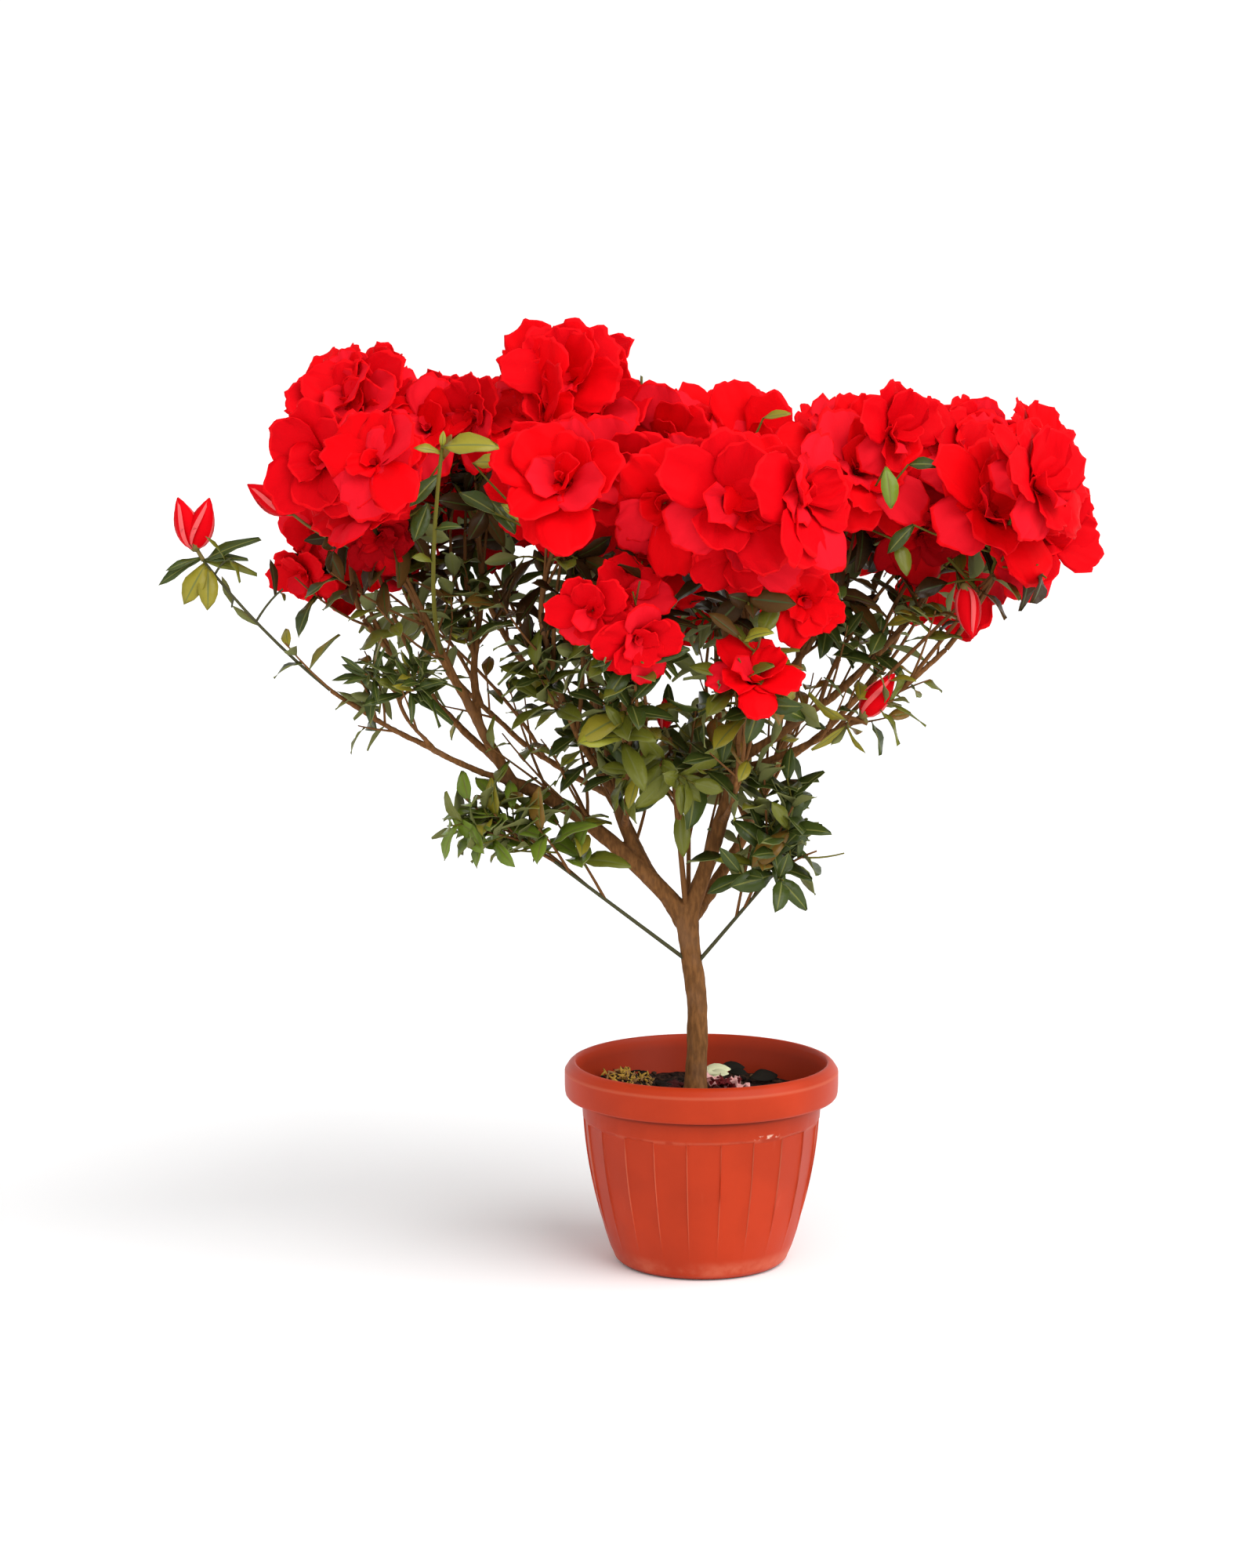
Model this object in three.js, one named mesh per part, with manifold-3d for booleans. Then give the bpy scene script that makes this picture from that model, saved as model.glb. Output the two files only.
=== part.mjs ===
// Azalea bonsai with red double flowers, standing in a panelled plastic pot.
// Millimetres, +Z up, X to the right and Y away from the viewer.
// The origin is in the middle of the pot's flat underside.
import * as THREE from "three";
import { mergeVertices } from "three/addons/utils/BufferGeometryUtils.js";
import Module from "manifold-3d";

const wasm = await Module();
wasm.setup();
const { Manifold } = wasm;

// Pot: a tapering wall of flat panels under a plain band and a folded collar
const POT_HEIGHT = 104;
const POT_PANELS = 22;
const POT_WALL = 2.2;
const POT_FLOOR = 3;
const BASE_RADIUS = 40;
const BASE_ROUND = 6;
const BAND_RADIUS = 60.5;
const BAND_BOTTOM = 74;
const WALL_BULGE = 2.6;
const COLLAR_RADIUS = 70;
const COLLAR_HEIGHT = 17.5;
const COLLAR_FOLD = 8;
const COLLAR_SHOULDER = 5;
const MOUTH_RADIUS = 63.8;

// Soil
const SOIL_DEPTH_BELOW_RIM = 17;
const SOIL_SIDES = 16;

// Clearance between two pieces that touch
const SEAT = 0.3;

// Trunk
const TRUNK_FOOT = [-3.2, 0];
const TRUNK_FORK = [-8, 0, 180];
const TRUNK_BOW = [2.4, 0, 0];
const TRUNK_FOOT_RADIUS = 5.5;
const TRUNK_FORK_RADIUS = 5.3;
const TRUNK_CUT = 2;
const ROOT_FLARE = 1.6;
const ROOT_FLARE_SHARE = 0.07;
const TRUNK_SIDES = 12;
const LIMB_SIDES = 5;
const LIMB_STEPS = 4;

// Boughs: the limb that each grows on, how far along it, where the tip is,
// how far its middle bows from the straight line, and its radius at base and tip
const bough = (name, on, along, tip, bow, base, end) => ({ name, on, along, tip, bow, base, end });
const BOUGHS = [
  bough("left_bough", "trunk", 0.97, [-97, -10, 248], [-3, 0, 13], 4.5, 3.6),
  bough("right_bough", "trunk", 0.98, [19, -5, 262], [1, 0, -1], 4.5, 3.4),
  bough("left_inner_bough", "left_bough", 0.22, [-48, 0, 272], [-5, 2, -4], 3.4, 2.6),
  bough("back_left_bough", "trunk", 0.9, [-58, 62, 268], [-2, 10, -8], 3.4, 2.6),
  bough("back_right_bough", "trunk", 0.94, [48, 60, 272], [2, 10, -8], 3.4, 2.6),
  bough("left_slant_bough", "left_bough", 0.99, [-141, -20, 337], [-2, -2, 2], 2.9, 1.9),
  bough("left_upright_bough", "left_slant_bough", 0.36, [-111, 2, 342], [-2, 1, -2], 2.2, 1.7),
  bough("left_outer_bough", "left_slant_bough", 0.12, [-172, 15, 329], [-2, 6, -3], 2.0, 1.5),
  bough("left_low_bough", "left_bough", 0.93, [-184, -40, 298], [0, -4, -4], 1.9, 1.3),
  bough("left_leaf_bough", "left_low_bough", 0.45, [-146, -38, 283], [0, -2, 0], 1.2, 1.0),
  bough("centre_upright_bough", "left_inner_bough", 0.98, [-62, 5, 345], [-3, 0, 0], 2.4, 1.8),
  bough("centre_left_bough", "left_inner_bough", 0.62, [-80, -46, 332], [-3, -6, -6], 1.9, 1.5),
  bough("low_front_bough", "left_inner_bough", 0.4, [-40, -62, 298], [2, -6, -6], 1.8, 1.4),
  bough("right_upright_bough", "right_bough", 0.97, [4, 8, 345], [6, 2, -4], 2.4, 1.8),
  bough("right_mid_bough", "right_upright_bough", 0.3, [62, -8, 342], [6, -2, -6], 2.0, 1.6),
  bough("right_outer_bough", "right_bough", 0.98, [106, -14, 336], [4, 0, -5], 2.5, 1.7),
  bough("right_low_bough", "right_bough", 0.9, [119, -36, 318], [4, -6, -6], 2.0, 1.4),
  bough("right_front_bough", "right_bough", 0.78, [20, -58, 322], [2, -8, -8], 2.0, 1.5),
  bough("right_leaf_bough", "right_low_bough", 0.34, [62, -40, 283], [2, -3, -1], 1.2, 1.0),
  bough("low_right_bough", "right_bough", 0.6, [16, -60, 274], [2, -6, -6], 1.6, 1.3),
  bough("back_left_outer_bough", "back_left_bough", 0.97, [-112, 70, 336], [-4, 4, -6], 2.2, 1.6),
  bough("back_left_low_bough", "back_left_bough", 0.7, [-132, 68, 298], [-4, 8, -6], 1.9, 1.4),
  bough("back_centre_bough", "back_left_bough", 0.98, [-38, 82, 338], [-4, 4, 0], 2.2, 1.6),
  bough("back_right_inner_bough", "back_right_bough", 0.98, [54, 76, 336], [2, 4, 0], 2.2, 1.6),
  bough("back_right_outer_bough", "back_right_bough", 0.8, [106, 62, 322], [6, 4, -6], 2.0, 1.5),
  bough("back_low_bough", "back_right_bough", 0.55, [10, 104, 296], [-4, 6, -8], 1.9, 1.4),
];

// Masses that flower: the bough that carries each, its middle, how far from the middle its
// blooms stand, the height that it stays under, its bloom size, and its blooms and leafy sprays
const flowering = (name, on, middle, spread, top, size, blooms, sprays) => ({
  name,
  on,
  middle,
  spread,
  top,
  size,
  blooms,
  sprays,
});
const FLOWERING = [
  flowering("left_front_bloom", "left_slant_bough", [-175, -46, 408], [30, 22, 20], 440, 1, 4, 2),
  flowering("left_top_bloom", "left_outer_bough", [-174, 14, 426], [26, 28, 22], 467, 1, 4, 2),
  flowering("left_mid_bloom", "left_upright_bough", [-122, 4, 424], [22, 26, 16], 455, 0.9, 3, 4),
  flowering("centre_top_bloom", "centre_upright_bough", [-68, 2, 432], [26, 30, 28], 479, 1, 5, 3),
  flowering("centre_left_bloom", "centre_left_bough", [-62, -66, 406], [16, 16, 14], 436, 0.95, 2, 4),
  flowering("centre_bloom", "right_upright_bough", [0, -4, 414], [30, 30, 20], 451, 1, 5, 2),
  flowering("centre_front_bloom", "right_front_bough", [8, -80, 394], [32, 20, 16], 428, 1, 4, 3),
  flowering("right_mid_bloom", "right_mid_bough", [76, -20, 410], [22, 28, 18], 446, 0.95, 4, 3),
  flowering("right_top_bloom", "right_outer_bough", [138, 6, 404], [28, 32, 18], 441, 1, 4, 3),
  flowering("right_tip_bloom", "right_low_bough", [168, -42, 402], [22, 22, 16], 428, 1, 4, 3),
  flowering("low_front_bloom", "low_front_bough", [-36, -92, 338], [12, 10, 18], 368, 0.62, 3, 3),
  flowering("low_right_bloom", "low_right_bough", [23, -88, 317], [16, 10, 15], 348, 0.68, 2, 3),
  flowering("back_left_bloom", "back_left_outer_bough", [-124, 84, 402], [32, 30, 20], 440, 1, 4, 2),
  flowering("back_low_left_bloom", "back_left_low_bough", [-172, 76, 372], [22, 24, 18], 410, 1, 3, 2),
  flowering("back_centre_bloom", "back_centre_bough", [-38, 92, 400], [32, 30, 18], 432, 1, 4, 2),
  flowering("back_right_bloom", "back_right_inner_bough", [54, 86, 394], [32, 30, 18], 424, 1, 4, 2),
  flowering("back_outer_bloom", "back_right_outer_bough", [130, 80, 378], [28, 28, 20], 418, 1, 4, 2),
  flowering("back_low_bloom", "back_low_bough", [10, 136, 352], [28, 18, 18], 394, 1, 3, 2),
];

// Leafy masses without open blooms: the limb that carries each, its middle, its stem's end, its spread,
// its leafy sprays, the buds at its stem's end, and how far along the trunk it starts
const leafy = (name, on, middle, end, spread, sprays, buds, along) => ({
  name,
  on,
  middle,
  end,
  spread,
  sprays,
  buds,
  along,
});
const LEAFY = [
  leafy("left_tip_spray", "left_low_bough", [-220, -46, 350], [-246, -46, 364], [26, 18, 22], 3, 2),
  leafy("left_leaf_spray", "left_leaf_bough", [-153, -46, 302], [-151, -44, 298], [22, 16, 14], 4, 0),
  leafy("centre_leaf_spray", "trunk", [-22, -38, 270], [-17, -34, 274], [32, 18, 28], 6, 1, 0.96),
  leafy("right_leaf_spray", "right_leaf_bough", [82, -46, 288], [80, -45, 282], [16, 12, 14], 2, 1),
  leafy("low_left_spray", "trunk", [-94, -28, 232], [-92, -26, 224], [28, 16, 16], 5, 0, 0.72),
  leafy("low_right_spray", "trunk", [42, -16, 228], [38, -13, 205], [20, 14, 28], 5, 0, 0.7),
  leafy("back_leaf_spray", "trunk", [-6, 52, 262], [-6, 36, 240], [32, 20, 26], 5, 0, 0.92),
];

// The growth rule
const GOLDEN_TURN = Math.PI * (3 - Math.sqrt(5));
const CROWN_HEART = [-12, 6, 322];
const HEART_PULL = [0.75, 1, 1];
const STEM_SHARE = 0.62;
const STEM_END_RADIUS = 1.1;
const SHOOT_RADIUS = 1.1;
const SHOOT_TIP_RADIUS = 0.8;
const BLOOM_RADIUS = 29;
const BLOOM_FAN = 1.25;
const BLOOM_DEPTH = 0.5;
const BLOOM_CROWDING = 0.68;
const BLOOM_SHRINK = 0.97;
const FACE_HEART = [-12, 34, 0];
const FACE_PULL = [0.4, 1, 0];
const FACE_OUT = 0.3;
const FACE_FLAT = 0.8;
const FACE_UP = 0.22;
const SETTLING = 24;
const SPRAY_TURN = 1.1;
const SPRAY_FROM = 1.25;
const SPRAY_TO = 2.35;
const LEAVES_A_SPRAY = 4;
const LEAF_TURNS = [0, 0.9, -0.9];
const LEAF_LENGTH = 36;
const LEAF_WIDTH = 15;
const LEAF_THICK = 1.1;
const LEAF_KEEL = 0.22;
const LEAF_SINK = 0.3;
const BUD_LENGTH = 24;
const BUD_RADIUS = 6;
const CELL_MARGIN = 0.4;
const CROWN_LEFT = 213;
const CROWN_RIGHT = 198;
const CROWN_FRONT = 138;
const CROWN_BACK = 166;

const vec = (a) => new THREE.Vector3(a[0], a[1], a[2]);

// A repeatable stream of numbers from 0 to 1
function seeded(seed) {
  let state = seed >>> 0;
  return () => {
    state = (Math.imul(state, 1664525) + 1013904223) >>> 0;
    return state / 4294967296;
  };
}

// A closed three.js geometry as a solid that can be joined and cut
function solid(geometry) {
  const bare = geometry.clone();
  bare.deleteAttribute("normal");
  bare.deleteAttribute("uv");
  const merged = mergeVertices(bare, 1e-3);
  const corners = merged.index.array;
  const kept = [];
  for (let i = 0; i < corners.length; i += 3) {
    const [a, b, c] = corners.slice(i, i + 3);
    if (a !== b && b !== c && c !== a) kept.push(a, b, c);
  }
  return new Manifold(
    new wasm.Mesh({
      numProp: 3,
      vertProperties: merged.getAttribute("position").array,
      triVerts: new Uint32Array(kept),
    }),
  );
}

// A solid as a faceted geometry
function faceted(body) {
  const data = body.getMesh();
  const flat = new THREE.BufferGeometry();
  flat.setAttribute("position", new THREE.BufferAttribute(data.vertProperties, 3));
  flat.setIndex(new THREE.BufferAttribute(data.triVerts, 1));
  const geometry = flat.toNonIndexed();
  geometry.computeVertexNormals();
  return geometry;
}

// A solid as a named mesh in its own material
function node(name, body, material) {
  const mesh = new THREE.Mesh(faceted(body), material);
  mesh.name = name;
  return mesh;
}

// The largest closed body of a solid, without loose scraps and sealed hollows
function largest(body) {
  const bodies = body.decompose();
  return bodies.reduce((best, one) => (one.volume() > best.volume() ? one : best));
}

// A closed tube along a curve, its radius given by a function of the share of the way along
function tube(curve, radius, sides, steps, grow = 0) {
  const geometry = new THREE.CylinderGeometry(1, 1, 1, sides, steps);
  const frames = curve.computeFrenetFrames(steps, false);
  const places = geometry.getAttribute("position");
  for (let i = 0; i < places.count; i += 1) {
    const share = places.getY(i) + 0.5;
    const step = Math.round(share * steps);
    const size = radius(share) + grow;
    const lengthen = step === 0 ? -grow : step === steps ? grow : 0;
    const place = curve
      .getPointAt(share)
      .addScaledVector(frames.normals[step], places.getX(i) * size)
      .addScaledVector(frames.binormals[step], -places.getZ(i) * size)
      .addScaledVector(frames.tangents[step], lengthen);
    places.setXYZ(i, place.x, place.y, place.z);
  }
  return solid(geometry);
}

// A curve from start to end whose middle bows from the straight line
function bowed(start, end, bow) {
  const control = start.clone().add(end).multiplyScalar(0.5).addScaledVector(bow, 2);
  return new THREE.QuadraticBezierCurve3(start, control, end);
}

// Pot
function potProfile() {
  const points = [];
  const add = (radius, height) => points.push(new THREE.Vector2(radius, height));
  const collarFoot = POT_HEIGHT - COLLAR_HEIGHT;
  const wallAt = (height) => {
    const share = (height - BASE_ROUND) / (BAND_BOTTOM - BASE_ROUND);
    const straight = THREE.MathUtils.lerp(BASE_RADIUS + BASE_ROUND, BAND_RADIUS, share);
    return straight + WALL_BULGE * 4 * share * (1 - share);
  };
  add(0, 0);
  add(BASE_RADIUS, 0);
  add(BASE_RADIUS + BASE_ROUND * Math.SQRT1_2, BASE_ROUND * (1 - Math.SQRT1_2));
  const belt = points.length;
  for (const share of [0, 0.45, 1]) {
    const height = THREE.MathUtils.lerp(BASE_ROUND, BAND_BOTTOM, share);
    add(wallAt(height), height);
  }
  const beltEnd = points.length;
  add(BAND_RADIUS + 1, BAND_BOTTOM + 1);
  add(BAND_RADIUS + 1, collarFoot + COLLAR_FOLD);
  add(COLLAR_RADIUS - POT_WALL, collarFoot + COLLAR_FOLD);
  add(COLLAR_RADIUS - POT_WALL, collarFoot);
  add(COLLAR_RADIUS, collarFoot);
  add(COLLAR_RADIUS - 0.6, POT_HEIGHT - COLLAR_SHOULDER);
  add(COLLAR_RADIUS - 2.4, POT_HEIGHT - 1.2);
  add(MOUTH_RADIUS + 1, POT_HEIGHT);
  add(MOUTH_RADIUS, POT_HEIGHT - 1);
  add(BAND_RADIUS - POT_WALL, BAND_BOTTOM);
  add(BASE_RADIUS + BASE_ROUND - POT_WALL, BASE_ROUND);
  add(BASE_RADIUS, POT_FLOOR);
  add(0, POT_FLOOR);
  return { points, belt, beltEnd };
}

function pot() {
  const { points, belt, beltEnd } = potProfile();
  const geometry = new THREE.LatheGeometry(points, POT_PANELS * 2);
  const places = geometry.getAttribute("position");
  const flatten = Math.cos(Math.PI / POT_PANELS);
  for (let i = 0; i < places.count; i += 1) {
    const ring = i % points.length;
    const turn = Math.floor(i / points.length);
    if (ring >= belt && ring < beltEnd && turn % 2 === 1) {
      places.setXYZ(i, places.getX(i) * flatten, places.getY(i), places.getZ(i) * flatten);
    }
  }
  return solid(geometry.rotateX(Math.PI / 2));
}

// Soil: fills the pot to below the rim, clear of the wall all round
function soil() {
  const top = POT_HEIGHT - SOIL_DEPTH_BELOW_RIM;
  const narrow = Math.cos(Math.PI / SOIL_SIDES);
  const clear = POT_WALL + SEAT * 2;
  const foot = (BASE_RADIUS - SEAT * 4) * narrow;
  const bulge = (BASE_RADIUS + BASE_ROUND - clear) * narrow;
  const shoulder = (BAND_RADIUS - clear) * narrow;
  const profile = [
    new THREE.Vector2(0, POT_FLOOR + SEAT),
    new THREE.Vector2(foot, POT_FLOOR + SEAT),
    new THREE.Vector2(bulge, BASE_ROUND + SEAT),
    new THREE.Vector2(shoulder, BAND_BOTTOM),
    new THREE.Vector2(shoulder + 1, top),
    new THREE.Vector2(0, top),
  ];
  return solid(new THREE.LatheGeometry(profile, SOIL_SIDES).rotateX(Math.PI / 2));
}

// Trunk and boughs: each limb has its curve, its radius and a swollen copy that keeps others clear
const limbs = new Map();

function addLimb(name, curve, radius, sides, cutters = []) {
  const earlier = [...limbs.values()].map((limb) => limb.swollen);
  const whole = tube(curve, radius, sides, LIMB_STEPS);
  const body = largest(whole.subtract(Manifold.union([...earlier, ...cutters])));
  limbs.set(name, { curve, radius, body, swollen: tube(curve, radius, sides, LIMB_STEPS, SEAT) });
}

// The trunk starts a little under the ground and is cut flat just above it
function addTrunk() {
  const ground = POT_HEIGHT - SOIL_DEPTH_BELOW_RIM + SEAT;
  const foot = vec([...TRUNK_FOOT, ground - TRUNK_CUT]);
  const curve = bowed(foot, vec(TRUNK_FORK), vec(TRUNK_BOW));
  const radius = (share) =>
    THREE.MathUtils.lerp(TRUNK_FOOT_RADIUS, TRUNK_FORK_RADIUS, share) +
    ROOT_FLARE * Math.exp(-share / ROOT_FLARE_SHARE);
  const block = new THREE.BoxGeometry(COLLAR_RADIUS, COLLAR_RADIUS, TRUNK_CUT * 4);
  const ends = solid(block.translate(foot.x, foot.y, ground - TRUNK_CUT * 2));
  addLimb("trunk", curve, radius, TRUNK_SIDES, [ends]);
}

function addBough(one) {
  const start = limbs.get(one.on).curve.getPointAt(one.along);
  const curve = bowed(start, vec(one.tip), vec(one.bow));
  const radius = (share) => THREE.MathUtils.lerp(one.base, one.end, share);
  addLimb(one.name, curve, radius, LIMB_SIDES);
}

// The stem of a mass, from its bough's tip or from the trunk's side
function stemOf(mass) {
  const limb = limbs.get(mass.on);
  const along = mass.along ?? 1;
  const start = limb.curve.getPointAt(along);
  const middle = vec(mass.middle);
  const end = mass.end ? vec(mass.end) : start.clone().lerp(middle, STEM_SHARE);
  const straight = start.clone().lerp(end, 0.5);
  const lead = limb.curve.getTangentAt(along).multiplyScalar(start.distanceTo(end) * 0.5);
  const drift = start.clone().add(lead).sub(straight);
  const bow = drift.multiplyScalar(mass.along ? 0 : 0.3);
  const width = mass.along ? STEM_END_RADIUS * 1.4 : limb.radius(1);
  const radius = (share) => THREE.MathUtils.lerp(width, STEM_END_RADIUS, share);
  const curve = bowed(start, end, bow);
  const wood = Manifold.union([...limbs.values()].map((one) => one.swollen));
  const body = largest(tube(curve, radius, LIMB_SIDES - 2, 3).subtract(wood));
  return { curve, body, swollen: tube(curve, radius, LIMB_SIDES - 2, 3, SEAT) };
}

// Two unit directions square to a third
function squareTo(way) {
  const across = Math.abs(way.z) < 0.9 ? vec([0, 0, 1]) : vec([1, 0, 0]);
  const first = across.clone().cross(way).normalize();
  return [first, way.clone().cross(first).normalize()];
}

// The direction at an angle from a middle one, turned about it
function leaning(way, angle, turn) {
  const [first, second] = squareTo(way);
  return way
    .clone()
    .multiplyScalar(Math.cos(angle))
    .addScaledVector(first, Math.sin(angle) * Math.cos(turn))
    .addScaledVector(second, Math.sin(angle) * Math.sin(turn));
}

// The outward direction of a mass, away from the crown's heart
function outward(mass) {
  return vec(mass.middle).sub(vec(CROWN_HEART)).multiply(vec(HEART_PULL)).normalize();
}

// Where a mass ends: a plane midway to each other mass, and the outside of the crown,
// each as a direction and a distance along it
function wallsOf(mass, masses) {
  const middle = vec(mass.middle);
  const walls = masses
    .filter((other) => other !== mass)
    .map((other) => {
      const way = vec(other.middle).sub(middle);
      const distance = way.length() / 2;
      way.normalize();
      return { way, limit: way.dot(middle) + distance - CELL_MARGIN };
    });
  if (!mass.blooms) return walls;
  return [
    ...walls,
    { way: vec([0, 0, 1]), limit: mass.top },
    { way: vec([-1, 0, 0]), limit: CROWN_LEFT },
    { way: vec([1, 0, 0]), limit: CROWN_RIGHT },
    { way: vec([0, -1, 0]), limit: CROWN_FRONT },
    { way: vec([0, 1, 0]), limit: CROWN_BACK },
  ];
}

// How far a disc of a given radius, with its axis along face, reaches in a direction
function discReach(radius, face, way) {
  const slant = face.dot(way);
  return radius * (Math.sqrt(Math.max(0, 1 - slant * slant)) + BLOOM_DEPTH * Math.abs(slant));
}

// The way a bloom looks: out to the front or back and the ends of the wide crown, a little upwards
function facing(place, way) {
  const flat = place.clone().sub(vec(FACE_HEART)).multiply(vec(FACE_PULL)).normalize();
  const up = vec([0, 0, FACE_UP]);
  return flat.multiplyScalar(FACE_FLAT).addScaledVector(way, FACE_OUT).add(up).normalize();
}

// The places of a mass's blooms: spread over a cap about its outward direction, then pushed
// apart and back, and made smaller, until each keeps to the mass's own space
function bloomPlaces(mass, walls, random) {
  const out = outward(mass);
  const places = [];
  for (let i = 0; i < mass.blooms; i += 1) {
    const angle = BLOOM_FAN * Math.sqrt((i + 0.35) / mass.blooms);
    const way = leaning(out, angle, i * GOLDEN_TURN + random() * 0.6 + mass.blooms);
    const place = vec(mass.middle).add(way.clone().multiply(vec(mass.spread)));
    const face = facing(place, way);
    const radius = BLOOM_RADIUS * mass.size * (0.9 + 0.22 * random());
    places.push({ place, face, radius, spin: random() * Math.PI * 2 });
  }
  for (let pass = 0; pass < SETTLING; pass += 1) {
    places.forEach((one, i) => {
      for (const other of places.slice(0, i)) {
        const way = one.place.clone().sub(other.place);
        const short = BLOOM_CROWDING * (one.radius + other.radius) - way.length();
        if (short <= 0) continue;
        way.normalize();
        one.place.addScaledVector(way, short / 2);
        other.place.addScaledVector(way, -short / 2);
      }
    });
    for (const one of places) {
      for (const wall of walls) {
        const past = one.place.dot(wall.way) + discReach(one.radius, one.face, wall.way) - wall.limit;
        if (past > 0) one.place.addScaledVector(wall.way, -past);
      }
      const tight = walls.some(
        (wall) => one.place.dot(wall.way) + discReach(one.radius, one.face, wall.way) - wall.limit > 0.05,
      );
      if (tight) one.radius *= BLOOM_SHRINK;
    }
  }
  return places;
}

// A double bloom: five lobed, wavy petals round a raised heart, closing to a point below
const BLOOM_PROFILE = [
  [0, -BLOOM_DEPTH],
  [1, 0],
  [0.66, 0.34],
  [0, BLOOM_DEPTH],
];
const PETALS = 5;
const PETAL_NOTCH = 0.2;
const PETAL_WAVE = 0.12;

function bloomSolid({ place, face, radius, spin }) {
  const profile = BLOOM_PROFILE.map(([r, h]) => new THREE.Vector2(r * radius, h * radius));
  const geometry = new THREE.LatheGeometry(profile, PETALS * 2).rotateX(Math.PI / 2);
  const points = geometry.getAttribute("position");
  for (let i = 0; i < points.count; i += 1) {
    const [x, y, z] = [points.getX(i), points.getY(i), points.getZ(i)];
    const lobe = Math.cos(PETALS * Math.atan2(y, x));
    const size = 1 - PETAL_NOTCH * (0.5 - 0.5 * lobe);
    const rim = Math.hypot(x, y) / radius;
    points.setXYZ(i, x * size, y * size, z + PETAL_WAVE * radius * rim * rim * lobe);
  }
  const [first, second] = squareTo(face);
  geometry.rotateZ(spin);
  geometry.applyMatrix4(new THREE.Matrix4().makeBasis(first, second, face).setPosition(place));
  return solid(geometry);
}

// A leaf: pointed at both ends, flat above and keeled below near the root,
// with the root sunk past the twig's middle
function leafSolid(root, way, upper, length) {
  const side = way.clone().cross(upper).normalize();
  const face = way.clone().cross(side).normalize();
  const wide = (LEAF_WIDTH * length) / LEAF_LENGTH / Math.sqrt(3);
  const geometry = new THREE.SphereGeometry(1, 3, 2)
    .scale(LEAF_THICK / 1.5, length / 2, wide)
    .translate(0, length / 2, 0);
  const points = geometry.getAttribute("position");
  for (let i = 0; i < points.count; i += 1) {
    const keel = points.getX(i) < -0.1 ? LEAF_KEEL * length : 0;
    points.setY(i, points.getY(i) - keel - LEAF_SINK);
  }
  const edge = face.clone().cross(way);
  geometry.applyMatrix4(new THREE.Matrix4().makeBasis(face, way, edge).setPosition(root));
  return solid(geometry);
}

function budSolid(root, way, length) {
  const geometry = new THREE.CylinderGeometry(0.2, 0.35, 1, 6, 2);
  const points = geometry.getAttribute("position");
  for (let i = 0; i < points.count; i += 1) {
    const swell = Math.abs(points.getY(i)) < 0.01 ? 1 / Math.hypot(points.getX(i), points.getZ(i)) : 1;
    const round = Math.hypot(points.getX(i), points.getZ(i)) > 0.01 ? swell * BUD_RADIUS : 0;
    points.setXYZ(i, points.getX(i) * round, (points.getY(i) + 0.5) * length, points.getZ(i) * round);
  }
  const [first, second] = squareTo(way);
  geometry.applyMatrix4(new THREE.Matrix4().makeBasis(first, way, second.negate()).setPosition(root));
  return solid(geometry);
}

// True if every corner of a solid is inside the walls and it is clear of the obstacles
function fits(body, walls, obstacles) {
  const { vertProperties: corners } = body.getMesh();
  for (let i = 0; i < corners.length; i += 3) {
    const corner = new THREE.Vector3(corners[i], corners[i + 1], corners[i + 2]);
    if (walls.some((wall) => corner.dot(wall.way) > wall.limit)) return false;
  }
  return obstacles.every((other) => body.intersect(other).isEmpty());
}

// A three-sided shoot
function shoot(start, end) {
  const curve = new THREE.LineCurve3(start, end);
  const radius = (share) => THREE.MathUtils.lerp(SHOOT_RADIUS, SHOOT_TIP_RADIUS, share);
  return { curve, body: tube(curve, radius, 3, 1) };
}

// The leaves of a spray, spiralling towards the shoot's tip and opening less as they go;
// each comes in a few turns about the shoot, for the first that is free to be used
function leavesOn(curve, random) {
  const leaves = [];
  for (let i = 0; i < LEAVES_A_SPRAY; i += 1) {
    const share = 0.4 + (0.56 * (i + 1)) / LEAVES_A_SPRAY;
    const along = curve.getTangentAt(share);
    const angle = 1.15 - 0.5 * (i / LEAVES_A_SPRAY);
    const turn = i * GOLDEN_TURN + random() * 0.5;
    const length = LEAF_LENGTH * (0.85 + 0.3 * random());
    const root = curve.getPointAt(share);
    const turned = (more) => leafSolid(root, leaning(along, angle, turn + more), along, length);
    leaves.push(LEAF_TURNS.map(turned));
  }
  return leaves;
}

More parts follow.
